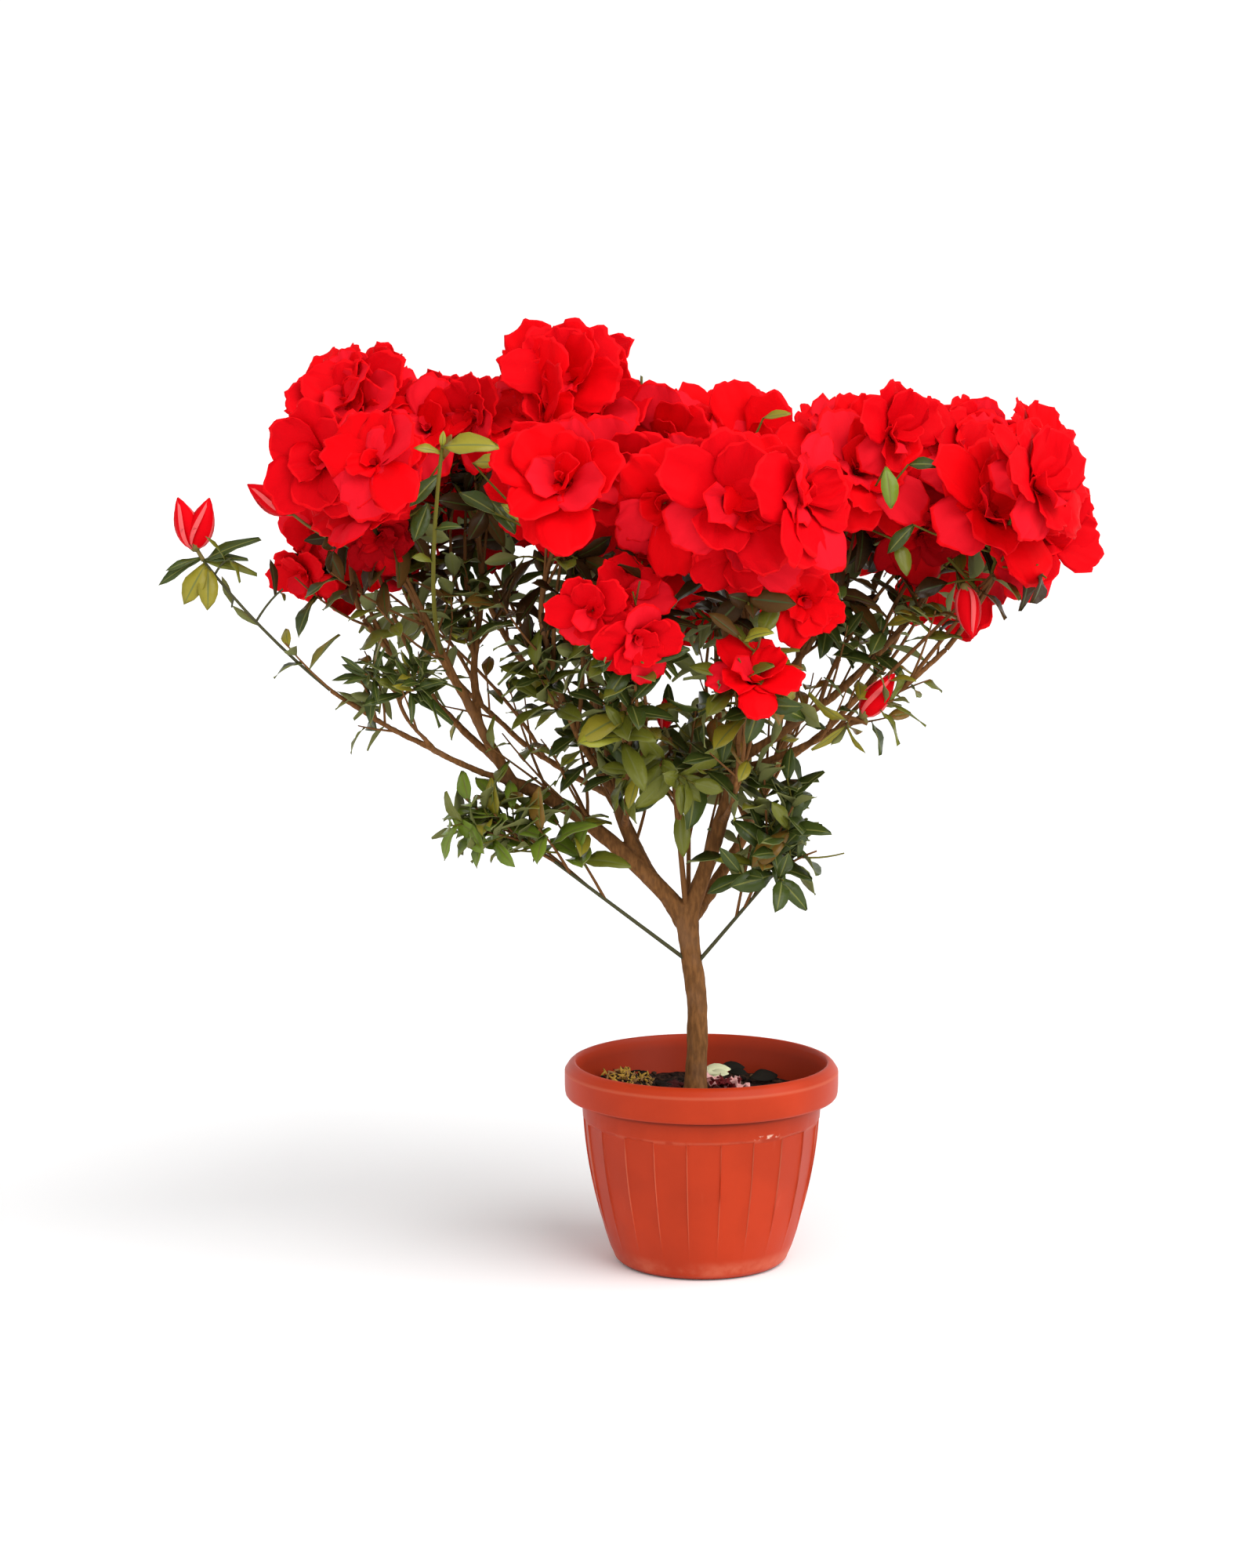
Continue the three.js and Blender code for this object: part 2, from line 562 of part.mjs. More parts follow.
// One mass: its stem, a shoot to each bloom or spray, and what the shoots carry.
// A shoot, bloom or leaf that would leave the space or touch another is skipped.
function massSolid(mass, stem, walls, obstacles, seed) {
  const random = seeded(seed);
  const pieces = [stem.body];
  const keep = (body, apart) => {
    const free = fits(body, walls, [...obstacles, ...apart]);
    if (free) pieces.push(body);
    return free;
  };
  const places = mass.blooms ? bloomPlaces(mass, walls, random) : [];
  places.forEach((bloom, i) => {
    const foot = bloom.place.clone().addScaledVector(bloom.face, -BLOOM_DEPTH * 0.4 * bloom.radius);
    const twig = shoot(stem.curve.getPointAt(0.97 - 0.09 * i), foot).body;
    if (!keep(twig, [])) return;
    const sizes = [1, 0.88, 0.76];
    sizes.some((size) => keep(bloomSolid({ ...bloom, radius: bloom.radius * size }), []));
  });
  for (let i = 0; i < (mass.buds ?? 0); i += 1) {
    const lean = leaning(stem.curve.getTangentAt(1), 0.35, i * Math.PI);
    const way = lean.lerp(vec([0, 0, 1]), 0.5).normalize();
    keep(budSolid(stem.curve.getPointAt(0.98 - 0.05 * i), way, BUD_LENGTH), []);
  }
  const out = outward(mass);
  for (let i = 0; i < mass.sprays; i += 1) {
    const share = (i + 0.5) / mass.sprays;
    const angle = mass.blooms
      ? THREE.MathUtils.lerp(SPRAY_FROM, SPRAY_TO, share)
      : Math.acos(1 - 1.7 * share);
    const way = leaning(out, angle, i * GOLDEN_TURN + SPRAY_TURN + random() * 0.6);
    const reach = way.multiply(vec(mass.spread)).multiplyScalar(0.8 + 0.25 * random());
    const tip = vec(mass.middle).add(reach);
    const from = mass.blooms ? 0.52 - 0.12 * i : 0.96 - 0.5 * share;
    const twig = shoot(stem.curve.getPointAt(from), tip);
    const leaves = leavesOn(twig.curve, random);
    if (!keep(twig.body, [])) continue;
    const others = () => pieces.filter((piece) => piece !== twig.body);
    leaves.forEach((turns) => turns.some((leaf) => keep(leaf, others())));
  }
  return largest(solid(faceted(largest(Manifold.union(pieces)))));
}

// Finishes
const finish = (color, roughness) => new THREE.MeshStandardMaterial({ color, roughness, metalness: 0 });
const POT_PLASTIC = finish(0xcc4426, 0.45);
const SOIL_PEAT = finish(0x2c1a12, 0.95);
const BARK = finish(0x7a5840, 0.85);
const FLOWER = finish(0xe60d1e, 0.55);
const LEAF = finish(0x3f5a24, 0.5);

// The whole plant
const plant = new THREE.Group();
plant.add(node("pot", pot(), POT_PLASTIC), node("soil", soil(), SOIL_PEAT));

addTrunk();
BOUGHS.forEach(addBough);
for (const [name, limb] of limbs) plant.add(node(name, limb.body, BARK));

const masses = [...FLOWERING, ...LEAFY];
const stems = masses.map(stemOf);
masses.forEach((mass, i) => {
  const others = stems.filter((_, k) => k !== i).map((stem) => stem.swollen);
  const obstacles = [...[...limbs.values()].map((limb) => limb.swollen), ...others];
  const body = massSolid(mass, stems[i], wallsOf(mass, masses), obstacles, i + 1);
  plant.add(node(mass.name, body, mass.blooms ? FLOWER : LEAF));
});

export default plant;
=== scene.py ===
"""Azalea bonsai with red double flowers in a panelled pot: the looks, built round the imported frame."""
import math

import bmesh
import bpy
import numpy as np
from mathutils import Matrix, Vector, kdtree, noise


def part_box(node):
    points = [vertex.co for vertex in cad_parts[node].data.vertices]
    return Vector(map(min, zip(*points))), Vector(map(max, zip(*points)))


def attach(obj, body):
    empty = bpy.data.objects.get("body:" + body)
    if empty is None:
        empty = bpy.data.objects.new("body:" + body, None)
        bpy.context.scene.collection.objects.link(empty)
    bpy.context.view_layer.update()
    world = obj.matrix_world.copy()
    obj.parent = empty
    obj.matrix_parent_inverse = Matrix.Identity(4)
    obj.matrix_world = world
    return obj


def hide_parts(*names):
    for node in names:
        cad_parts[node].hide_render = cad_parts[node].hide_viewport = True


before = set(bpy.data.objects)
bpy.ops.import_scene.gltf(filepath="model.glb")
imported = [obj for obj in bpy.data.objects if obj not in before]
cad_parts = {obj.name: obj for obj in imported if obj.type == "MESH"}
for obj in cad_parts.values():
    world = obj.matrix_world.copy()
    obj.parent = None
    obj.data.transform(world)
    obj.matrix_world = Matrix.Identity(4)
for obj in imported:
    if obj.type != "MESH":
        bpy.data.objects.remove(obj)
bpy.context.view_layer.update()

bl_info = {
    "name": "Potted Azalea Bonsai",
    "version": (1, 0, 0),
    "blender": (4, 5, 0),
    "location": "View3D > Sidebar > Azalea",
    "description": "Builds a flowering azalea bonsai in its plastic pot round the packed frame",
    "category": "Add Mesh",
}

MM = 0.001
POT_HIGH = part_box("pot")[1]
SOIL_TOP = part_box("soil")[1].z
GOLDEN_TURN = math.pi * (3 - math.sqrt(5))
# The bark's and the petals' crumpling, the same on every run
NOISE_SEED = 1
noise.seed_set(NOISE_SEED)

# The plant's limbs, in millimetres, by the same rule as the solids: the limb that each grows on,
# how far along it, its tip, how far its middle bows from the straight, and its two radii
TRUNK = {"foot": (-3.2, 0, 85.3), "fork": (-8, 0, 180), "bow": (2.4, 0, 0)}
TRUNK_BASE, TRUNK_END, TRUNK_FLARE, FLARE_SHARE = 5.5, 5.3, 1.6, 0.07
BOUGHS = [
    ("left_bough", "trunk", 0.97, (-97, -10, 248), (-3, 0, 13), 4.5, 3.6),
    ("right_bough", "trunk", 0.98, (19, -5, 262), (1, 0, -1), 4.5, 3.4),
    ("left_inner_bough", "left_bough", 0.22, (-48, 0, 272), (-5, 2, -4), 3.4, 2.6),
    ("back_left_bough", "trunk", 0.9, (-58, 62, 268), (-2, 10, -8), 3.4, 2.6),
    ("back_right_bough", "trunk", 0.94, (48, 60, 272), (2, 10, -8), 3.4, 2.6),
    ("left_slant_bough", "left_bough", 0.99, (-141, -20, 337), (-2, -2, 2), 2.9, 1.9),
    ("left_upright_bough", "left_slant_bough", 0.36, (-111, 2, 342), (-2, 1, -2), 2.2, 1.7),
    ("left_outer_bough", "left_slant_bough", 0.12, (-172, 15, 329), (-2, 6, -3), 2.0, 1.5),
    ("left_low_bough", "left_bough", 0.93, (-184, -40, 298), (0, -4, -4), 1.9, 1.3),
    ("left_leaf_bough", "left_low_bough", 0.45, (-146, -38, 283), (0, -2, 0), 1.2, 1.0),
    ("centre_upright_bough", "left_inner_bough", 0.98, (-62, 5, 345), (-3, 0, 0), 2.4, 1.8),
    ("centre_left_bough", "left_inner_bough", 0.62, (-80, -46, 332), (-3, -6, -6), 1.9, 1.5),
    ("low_front_bough", "left_inner_bough", 0.4, (-40, -62, 298), (2, -6, -6), 1.8, 1.4),
    ("right_upright_bough", "right_bough", 0.97, (4, 8, 345), (6, 2, -4), 2.4, 1.8),
    ("right_mid_bough", "right_upright_bough", 0.3, (62, -8, 342), (6, -2, -6), 2.0, 1.6),
    ("right_outer_bough", "right_bough", 0.98, (106, -14, 336), (4, 0, -5), 2.5, 1.7),
    ("right_low_bough", "right_bough", 0.9, (119, -36, 318), (4, -6, -6), 2.0, 1.4),
    ("right_front_bough", "right_bough", 0.78, (20, -58, 322), (2, -8, -8), 2.0, 1.5),
    ("right_leaf_bough", "right_low_bough", 0.34, (62, -40, 283), (2, -3, -1), 1.2, 1.0),
    ("low_right_bough", "right_bough", 0.6, (16, -60, 274), (2, -6, -6), 1.6, 1.3),
    ("back_left_outer_bough", "back_left_bough", 0.97, (-112, 70, 336), (-4, 4, -6), 2.2, 1.6),
    ("back_left_low_bough", "back_left_bough", 0.7, (-132, 68, 298), (-4, 8, -6), 1.9, 1.4),
    ("back_centre_bough", "back_left_bough", 0.98, (-38, 82, 338), (-4, 4, 0), 2.2, 1.6),
    ("back_right_inner_bough", "back_right_bough", 0.98, (54, 76, 336), (2, 4, 0), 2.2, 1.6),
    ("back_right_outer_bough", "back_right_bough", 0.8, (106, 62, 322), (6, 4, -6), 2.0, 1.5),
    ("back_low_bough", "back_right_bough", 0.55, (10, 104, 296), (-4, 6, -8), 1.9, 1.4),
]

# Masses that flower: bough, middle, spread, the height that each stays under, bloom size, blooms, sprays
FLOWERING = [
    ("left_front_bloom", "left_slant_bough", (-175, -46, 408), (30, 22, 20), 440, 1, 4, 2),
    ("left_top_bloom", "left_outer_bough", (-174, 14, 426), (26, 28, 22), 467, 1, 4, 2),
    ("left_mid_bloom", "left_upright_bough", (-122, 4, 424), (22, 26, 16), 455, 0.9, 3, 4),
    ("centre_top_bloom", "centre_upright_bough", (-68, 2, 432), (26, 30, 28), 479, 1, 5, 3),
    ("centre_left_bloom", "centre_left_bough", (-62, -66, 406), (16, 16, 14), 436, 0.95, 2, 4),
    ("centre_bloom", "right_upright_bough", (0, -4, 414), (30, 30, 20), 451, 1, 5, 2),
    ("centre_front_bloom", "right_front_bough", (8, -80, 394), (32, 20, 16), 428, 1, 4, 3),
    ("right_mid_bloom", "right_mid_bough", (76, -20, 410), (22, 28, 18), 446, 0.95, 4, 3),
    ("right_top_bloom", "right_outer_bough", (138, 6, 404), (28, 32, 18), 441, 1, 4, 3),
    ("right_tip_bloom", "right_low_bough", (168, -42, 402), (22, 22, 16), 428, 1, 4, 3),
    ("low_front_bloom", "low_front_bough", (-36, -92, 338), (12, 10, 18), 368, 0.62, 3, 3),
    ("low_right_bloom", "low_right_bough", (23, -88, 317), (16, 10, 15), 348, 0.68, 2, 3),
    ("back_left_bloom", "back_left_outer_bough", (-124, 84, 402), (32, 30, 20), 440, 1, 4, 2),
    ("back_low_left_bloom", "back_left_low_bough", (-172, 76, 372), (22, 24, 18), 410, 1, 3, 2),
    ("back_centre_bloom", "back_centre_bough", (-38, 92, 400), (32, 30, 18), 432, 1, 4, 2),
    ("back_right_bloom", "back_right_inner_bough", (54, 86, 394), (32, 30, 18), 424, 1, 4, 2),
    ("back_outer_bloom", "back_right_outer_bough", (130, 80, 378), (28, 28, 20), 418, 1, 4, 2),
    ("back_low_bloom", "back_low_bough", (10, 136, 352), (28, 18, 18), 394, 1, 3, 2),
]
# Leafy masses: limb, how far along it, middle, the stem's end, spread, sprays, buds
LEAFY = [
    ("left_tip_spray", "left_low_bough", 1, (-220, -46, 350), (-246, -46, 364), (26, 18, 22), 3, 2),
    ("left_leaf_spray", "left_leaf_bough", 1, (-153, -46, 302), (-151, -44, 298), (22, 16, 14), 4, 0),
    ("centre_leaf_spray", "trunk", 0.96, (-22, -38, 270), (-17, -34, 274), (32, 18, 28), 6, 1),
    ("right_leaf_spray", "right_leaf_bough", 1, (82, -46, 288), (80, -45, 282), (16, 12, 14), 2, 1),
    ("low_left_spray", "trunk", 0.72, (-94, -28, 232), (-92, -26, 224), (28, 16, 16), 5, 0),
    ("low_right_spray", "trunk", 0.7, (42, -16, 228), (38, -13, 205), (20, 14, 28), 5, 0),
    ("back_leaf_spray", "trunk", 0.92, (-6, 52, 262), (-6, 36, 240), (32, 20, 26), 5, 0),
]
# The sides of the plant that blooms and leaves are joined by
SIDES = ("left", "centre", "right", "back_left", "back_right")
CROWN_HEART = np.array((-12, 6, 322.0))
HEART_PULL = np.array((0.75, 1, 1))
# How far the crown's blooms reach to the left, right, front and back, and the ways up and to those sides
CROWN_REACH = (213, 198, 138, 166)
CROWN_WALLS = ((0, 0, 1), (-1, 0, 0), (1, 0, 0), (0, -1, 0), (0, 1, 0))
CELL_MARGIN = 0.4
STEM_SHARE = 0.62
STEM_END = 1.1
BLOOM_RADIUS = 29
BLOOM_DEPTH = 0.5
BLOOM_FAN = 1.25
# Least size and spread of sizes, of a mass's first blooms and of those that fill it
FIRST_SIZES, FILL_SIZES = (0.9, 0.22), (0.82, 0.2)
FACE_HEART = np.array((-12, 34, 0.0))
FACE_PULL = np.array((0.4, 1, 0))
FACE_OUT, FACE_FLAT, FACE_UP = 0.3, 0.8, 0.22
BLOOM_CROWDING = 0.68
BLOOM_SHRINK = 0.97
SETTLING, SETTLED = 24, 0.05
BLOOM_FILL = 0.43
FILL_SLACK = 14
FILL_TRIES, FILL_PUSHES = 260, 3
FILL_LOW = 10
FILL_FAN, FILL_NEAR, FILL_DEEP = 2.1, 0.6, 0.7
# How many more blooms than its first ones a mass gets: none on the small low ones, few in leafy gaps
FILL_MORE = {"left_mid_bloom": 0, "centre_left_bloom": 0, "low_front_bloom": -3, "low_right_bloom": -2}
LOOK_LOOSE, LOOK_UP, LOOK_RAISED, LOOK_FORWARD, LOOK_ASIDE = 1.1, 0.16, 0.25, 0.6, 0.8
# How far a mass's blooms have grown on from where the solids have them, in millimetres
GROWN_ON = {
    "left_front_bloom": (-3, 0, 4), "left_top_bloom": (-2, -4, 4), "centre_top_bloom": (-9, 0, 3),
    "right_mid_bloom": (2, 0, 4), "right_top_bloom": (0, 0, 5), "right_tip_bloom": (-7, 0, 5),
    "back_low_left_bloom": (8, 0, 25), "low_front_bloom": (-4, 0, 2),
}
# Single blooms that have moved from among their neighbours: the mass, the bloom's number in it, how far
MOVED = {
    ("left_front_bloom", 2): (-8, 0, 0), ("left_front_bloom", 5): (-13, 4, -4),
    ("left_front_bloom", 6): (-12, 0, -6), ("left_mid_bloom", 1): (0, 2, 6),
    ("left_mid_bloom", 4): (0, 12, 12), ("right_mid_bloom", 3): (-4, 6, 14),
    ("right_tip_bloom", 3): (7, 0, 12),
}
# Masses whose blooms are smaller than the solids' own
SMALLER = {"left_front_bloom": 0.9, "low_front_bloom": 0.95}
# The mass whose blooms are shown as one, in their middle
SHOWN_AS_ONE = "low_right_bloom"
# Single blooms at the crown's highest places and half hidden under its edge: the mass that each grows from,
# its place, the way that it looks, its radius, and whether its petals take painted shade, a darker tone
LONE_BLOOMS = [
    ("left_top_bloom", (-176, -8, 441), (-0.25, -0.8, 0.55), 27, False),
    ("centre_top_bloom", (-73, -14, 451), (-0.3, -0.8, 0.5), 28, False),
    ("right_mid_bloom", (84, -26, 421), (0.3, -0.8, 0.5), 25, False),
    ("right_top_bloom", (143, -12, 411), (0.3, -0.8, 0.55), 26, False),
    ("centre_left_bloom", (-84, -48, 388), (-0.3, -0.9, 0.0), 20, False),
    ("centre_front_bloom", (17, -98, 371), (0, -1, -0.1), 22, False),
    ("centre_front_bloom", (48, -72, 343), (0.2, -0.9, -0.2), 18, False),
    ("right_tip_bloom", (108, -34, 372), (0.1, -0.95, -0.3), 21, True),
    ("left_front_bloom", (-158, -50, 372), (0, -0.9, -0.3), 16, True),
    ("left_top_bloom", (-197, -14, 375), (-0.5, -0.8, -0.1), 17, False),
    ("left_top_bloom", (-202, -8, 351), (-0.5, -0.7, -0.3), 15, False),
]
# Blooms under this height take painted shade, a darker petal tone, where another stands before their face, in
# bloom radii
SHADE_BELOW = 388
COVER_FROM, COVER_TO, COVER_ASIDE = 0.3, 3, 0.75
# What each kind of growth adds to its mass's number for a stream of its own
FILL_SEED, SHOOT_SEED, BOUGH_SEED, LOOK_SEED, PETAL_SEED = 300, 500, 700, 800, 900
LINE_POINTS, LINE_STEP = 49, 0.02
# A mass's sprays: the first one's turn, their least and greatest angle, and what a solid one's leaves draw
SPRAY_TURN, SPRAY_FROM, SPRAY_TO, SPRAY_DRAWS = 1.1, 1.25, 2.35, 8


def stream(seed):
    """A repeatable stream of numbers from 0 to 1, the same as the solids use."""
    state = seed
    while True:
        state = (state * 1664525 + 1013904223) & 0xFFFFFFFF
        yield state / 4294967296


def unit(way):
    way = np.asarray(way, float)
    return way / np.linalg.norm(way)


def mix(first, second, share):
    return first + (second - first) * share


def taper(thick, thin):
    """The radius along a limb or twig, from its start to its end."""
    return lambda share: mix(thick, thin, share)


def pick(draw, count):
    """A whole number under count."""
    return int(next(draw) * (count - 0.001))


def drift(draw, reach):
    """A level step to a side, at most half of reach each way."""
    return np.array((next(draw) - 0.5, next(draw) - 0.5, 0)) * reach


class Line:
    """The line of a limb or shoot: from start to end, its middle bowed from the straight."""

    def __init__(self, start, end, bow=(0, 0, 0)):
        start, end = np.asarray(start, float), np.asarray(end, float)
        control = (start + end) / 2 + 2 * np.asarray(bow, float)
        t = np.linspace(0, 1, LINE_POINTS)[:, None]
        self.points = (1 - t) ** 2 * start + 2 * t * (1 - t) * control + t * t * end
        steps = np.linalg.norm(np.diff(self.points, axis=0), axis=1)
        self.reach = np.concatenate(([0], np.cumsum(steps)))
        self.length = self.reach[-1]

    def at(self, share):
        far = np.asarray(share, float) * self.length
        return np.stack([np.interp(far, self.reach, self.points[:, k]) for k in range(3)], -1)

    def way(self, share):
        return unit(self.at(min(1, share + LINE_STEP)) - self.at(max(0, share - LINE_STEP)))


def square_to(way):
    """Two unit directions square to a third."""
    across = np.array((0, 0, 1.0)) if abs(way[2]) < 0.9 else np.array((1.0, 0, 0))
    first = unit(np.cross(across, way))
    return first, unit(np.cross(way, first))


def leaning(way, angle, turn):
    """The direction at an angle from a middle one, turned about it."""
    first, second = square_to(way)
    return way * math.cos(angle) + math.sin(angle) * (first * math.cos(turn) + second * math.sin(turn))


def side_of(name):
    """The side of the plant that a limb or mass is counted to, by its name."""
    first, second = name.split("_")[:2]
    if first == "back":
        return "back_left" if "left" in name or "centre" in name else "back_right"
    return {"low": {"front": "centre"}.get(second, second)}.get(first, first)


def facing(place, way):
    """The way a bloom looks: out to the front or back and the ends of the wide crown, a little upwards."""
    flat = unit((place - FACE_HEART) * FACE_PULL)
    return unit(way * FACE_OUT + flat * FACE_FLAT + np.array((0, 0, FACE_UP)))


class Mass:
    """One foliage mass: its stem, its own space, and where its blooms and sprays stand."""

    def __init__(self, seed, name, limb, along, middle, end, spread, top, size, blooms, sprays, buds):
        self.name, self.limb, self.along, self.end = name, limb, along, end
        self.middle, self.spread = np.array(middle, float), np.array(spread, float)
        self.top, self.size, self.blooms, self.sprays, self.buds = top, size, blooms, sprays, buds
        self.out = unit((self.middle - CROWN_HEART) * HEART_PULL)
        self.draw = stream(seed)
        self.seed = seed
        self.side = side_of(name)

    def grow_stem(self, limbs):
        line, radius = limbs[self.limb]
        start = line.at(self.along)
        if self.end is None:
            end = mix(start, self.middle, STEM_SHARE)
        else:
            end = np.array(self.end, float)
        bow = np.zeros(3)
        width = STEM_END * 1.4
        if self.along == 1:
            lead = line.way(1) * np.linalg.norm(end - start) * 0.5
            bow = (start + lead - (start + end) / 2) * 0.3
            width = radius(1.0)
        self.stem = Line(start, end, bow)
        self.stem_radius = taper(width, STEM_END)

    def find_walls(self, masses):
        ways, limits = [], []
        for other in masses:
            if other is self:
                continue
            gap = other.middle - self.middle
            ways.append(unit(gap))
            limits.append(ways[-1] @ self.middle + np.linalg.norm(gap) / 2 - CELL_MARGIN)
        if self.blooms:
            ways += [np.array(way, float) for way in CROWN_WALLS]
            limits += [self.top, *CROWN_REACH]
        self.ways, self.limits = np.array(ways), np.array(limits)

    def past_walls(self, bloom):
        slant = self.ways @ bloom["face"]
        reach = bloom["radius"] * (np.sqrt(np.maximum(0, 1 - slant**2)) + BLOOM_DEPTH * np.abs(slant))
        return self.ways @ bloom["place"] + reach - self.limits

    def bloom_radius(self, sizes, draw):
        return BLOOM_RADIUS * self.size * (sizes[0] + sizes[1] * next(draw))

    def place_blooms(self):
        """Blooms spread over a cap, then pushed apart and back into the mass's own space."""
        places = []
        for i in range(self.blooms):
            angle = BLOOM_FAN * math.sqrt((i + 0.35) / self.blooms)
            way = leaning(self.out, angle, i * GOLDEN_TURN + next(self.draw) * 0.6 + self.blooms)
            place = self.middle + way * self.spread
            radius = self.bloom_radius(FIRST_SIZES, self.draw)
            next(self.draw)  # the solid bloom's own turn
            places.append({"place": place, "face": facing(place, way), "radius": radius})
        for _ in range(SETTLING):
            for i, one in enumerate(places):
                for other in places[:i]:
                    gap = one["place"] - other["place"]
                    short = BLOOM_CROWDING * (one["radius"] + other["radius"]) - np.linalg.norm(gap)
                    if short > 0:
                        push = unit(gap) * short / 2
                        one["place"] = one["place"] + push
                        other["place"] = other["place"] - push
            for one in places:
                for k in range(len(self.ways)):
                    past = self.past_walls(one)[k]
                    if past > 0:
                        one["place"] = one["place"] - self.ways[k] * past
                if (self.past_walls(one) > SETTLED).any():
                    one["radius"] *= BLOOM_SHRINK
        return places

    def fill_blooms(self, taken):
        """More blooms on finer shoots, in what room the first ones leave in and about the mass's space."""
        fine = stream(self.seed + FILL_SEED)
        limit = self.blooms + FILL_MORE.get(self.name, 1 if "back" in self.name else 2)
        shared = len(self.ways) - len(CROWN_WALLS)
        slack = np.where(np.arange(len(self.ways)) < shared, FILL_SLACK, 0)
        more = []
        for _ in range(FILL_TRIES):
            way = leaning(self.out, FILL_FAN * math.sqrt(next(fine)), next(fine) * math.tau)
            place = self.middle + way * self.spread * (FILL_NEAR + FILL_DEEP * next(fine))
            radius = self.bloom_radius(FILL_SIZES, fine)
            bloom = {"place": place, "face": facing(place, way), "radius": radius}
            for _ in range(FILL_PUSHES):
                past = self.past_walls(bloom) - slack
                bloom["place"] = bloom["place"] - self.ways[past.argmax()] * max(0, past.max())
            past = self.past_walls(bloom) - slack
            low = bloom["place"][2] < self.middle[2] - FILL_LOW
            crowded = any(
                np.linalg.norm(bloom["place"] - one["place"]) <= BLOOM_FILL * (radius + one["radius"])
                for one in taken + more
            )
            if past.max() < 1 and not crowded and not low and len(more) < limit:
                more.append(bloom)
        return more

    def look(self, bloom, fine):
        """The way a bloom is turned in the end: loosely by its face, high ones up, front ones forward."""
        loose = np.array([next(fine) - 0.5 for _ in range(3)]) * LOOK_LOOSE
        raised = max(0, (bloom["place"][2] - self.middle[2]) / self.spread[2])
        face = bloom["face"] + loose + np.array((0, 0, LOOK_UP + LOOK_RAISED * raised))
        if not self.side.startswith("back"):
            face = np.array((face[0] * LOOK_ASIDE, min(face[1], -LOOK_FORWARD), face[2]))
        return unit(face)

    def place_sprays(self):
        """The line of each leafy spray's main shoot."""
        lines = []
        for i in range(self.sprays):
            share = (i + 0.5) / self.sprays
            angle = mix(SPRAY_FROM, SPRAY_TO, share) if self.blooms else math.acos(1 - 1.7 * share)
            way = leaning(self.out, angle, i * GOLDEN_TURN + SPRAY_TURN + next(self.draw) * 0.6)
            tip = self.middle + way * self.spread * (0.8 + 0.25 * next(self.draw))
            start = 0.52 - 0.12 * i if self.blooms else 0.96 - 0.5 * share
            lines.append(Line(self.stem.at(start), tip, (0, 0, 1.5)))
            for _ in range(SPRAY_DRAWS):
                next(self.draw)
        return lines


def grow_limbs():
    """The line and the radius along it of the trunk and of each bough."""
    limbs = {
        "trunk": (
            Line(TRUNK["foot"], TRUNK["fork"], TRUNK["bow"]),
            lambda share: mix(TRUNK_BASE, TRUNK_END, share) + TRUNK_FLARE * np.exp(-share / FLARE_SHARE),
        )
    }
    for name, on, along, tip, bow, thick, thin in BOUGHS:
        limbs[name] = (Line(limbs[on][0].at(along), tip, bow), taper(thick, thin))
    return limbs


def grow_masses(limbs):
    rows = [
        (name, limb, 1, middle, None, spread, top, size, blooms, sprays, 0)
        for name, limb, middle, spread, top, size, blooms, sprays in FLOWERING
    ]
    rows += [
        (name, limb, along, middle, end, spread, None, 1, 0, sprays, buds)
        for name, limb, along, middle, end, spread, sprays, buds in LEAFY
    ]
    masses = [Mass(number, *row) for number, row in enumerate(rows, 1)]
    for mass in masses:
        mass.grow_stem(limbs)
        mass.find_walls(masses)
    return masses


def flower(masses):
    """Places every mass's blooms: the first ones everywhere, and then the fill between them."""
    for mass in masses:
        mass.places = mass.place_blooms()
    taken = [bloom for mass in masses for bloom in mass.places]
    for mass in masses:
        mass.extra = mass.fill_blooms(taken) if mass.blooms else []
        taken += mass.extra
        fine = stream(mass.seed + LOOK_SEED)
        for i, bloom in enumerate(mass.places + mass.extra):
            bloom["look"] = mass.look(bloom, fine)
            for moved in (GROWN_ON.get(mass.name), MOVED.get((mass.name, i))):
                bloom["place"] = bloom["place"] + np.array(moved or (0, 0, 0))
            bloom["radius"] *= SMALLER.get(mass.name, 1)
        if mass.name == SHOWN_AS_ONE:
            mass.places[0]["place"] = sum(bloom["place"] for bloom in mass.places) / len(mass.places)
            mass.places = mass.places[:1]
        for name, place, way, radius, deep in LONE_BLOOMS:
            if name == mass.name:
                lone = {"place": np.array(place, float), "look": unit(way), "radius": radius, "deep": deep}
                mass.extra.append(lone)


def shade_covered_blooms(masses):
    """Marks the low blooms that have others close before their face: their petals get painted shade, a darker
    tone.
    """
    blooms = [bloom for mass in masses for bloom in mass.places + mass.extra]
    places = np.array([bloom["place"] for bloom in blooms])
    for bloom in blooms:
        off = (places - bloom["place"]) / bloom["radius"]
        ahead = off @ bloom["look"]
        aside = np.linalg.norm(off - ahead[:, None] * bloom["look"], axis=1)
        covered = bool(((ahead > COVER_FROM) & (ahead < COVER_TO) & (aside < COVER_ASIDE)).any())
        bloom.setdefault("deep", covered and bloom["place"][2] < SHADE_BELOW)


LIMBS = grow_limbs()
MASSES = grow_masses(LIMBS)
flower(MASSES)
shade_covered_blooms(MASSES)


class Shape:
    """A small mesh held as arrays, ready to be copied many times."""

    def __init__(self, bm):
        bm.verts.index_update()
        self.points = np.array([vert.co for vert in bm.verts], float)
        self.corners = np.array([vert.index for face in bm.faces for vert in face.verts])
        self.sizes = np.array([len(face.verts) for face in bm.faces])
        self.finishes = np.array([face.material_index for face in bm.faces])
        bm.free()


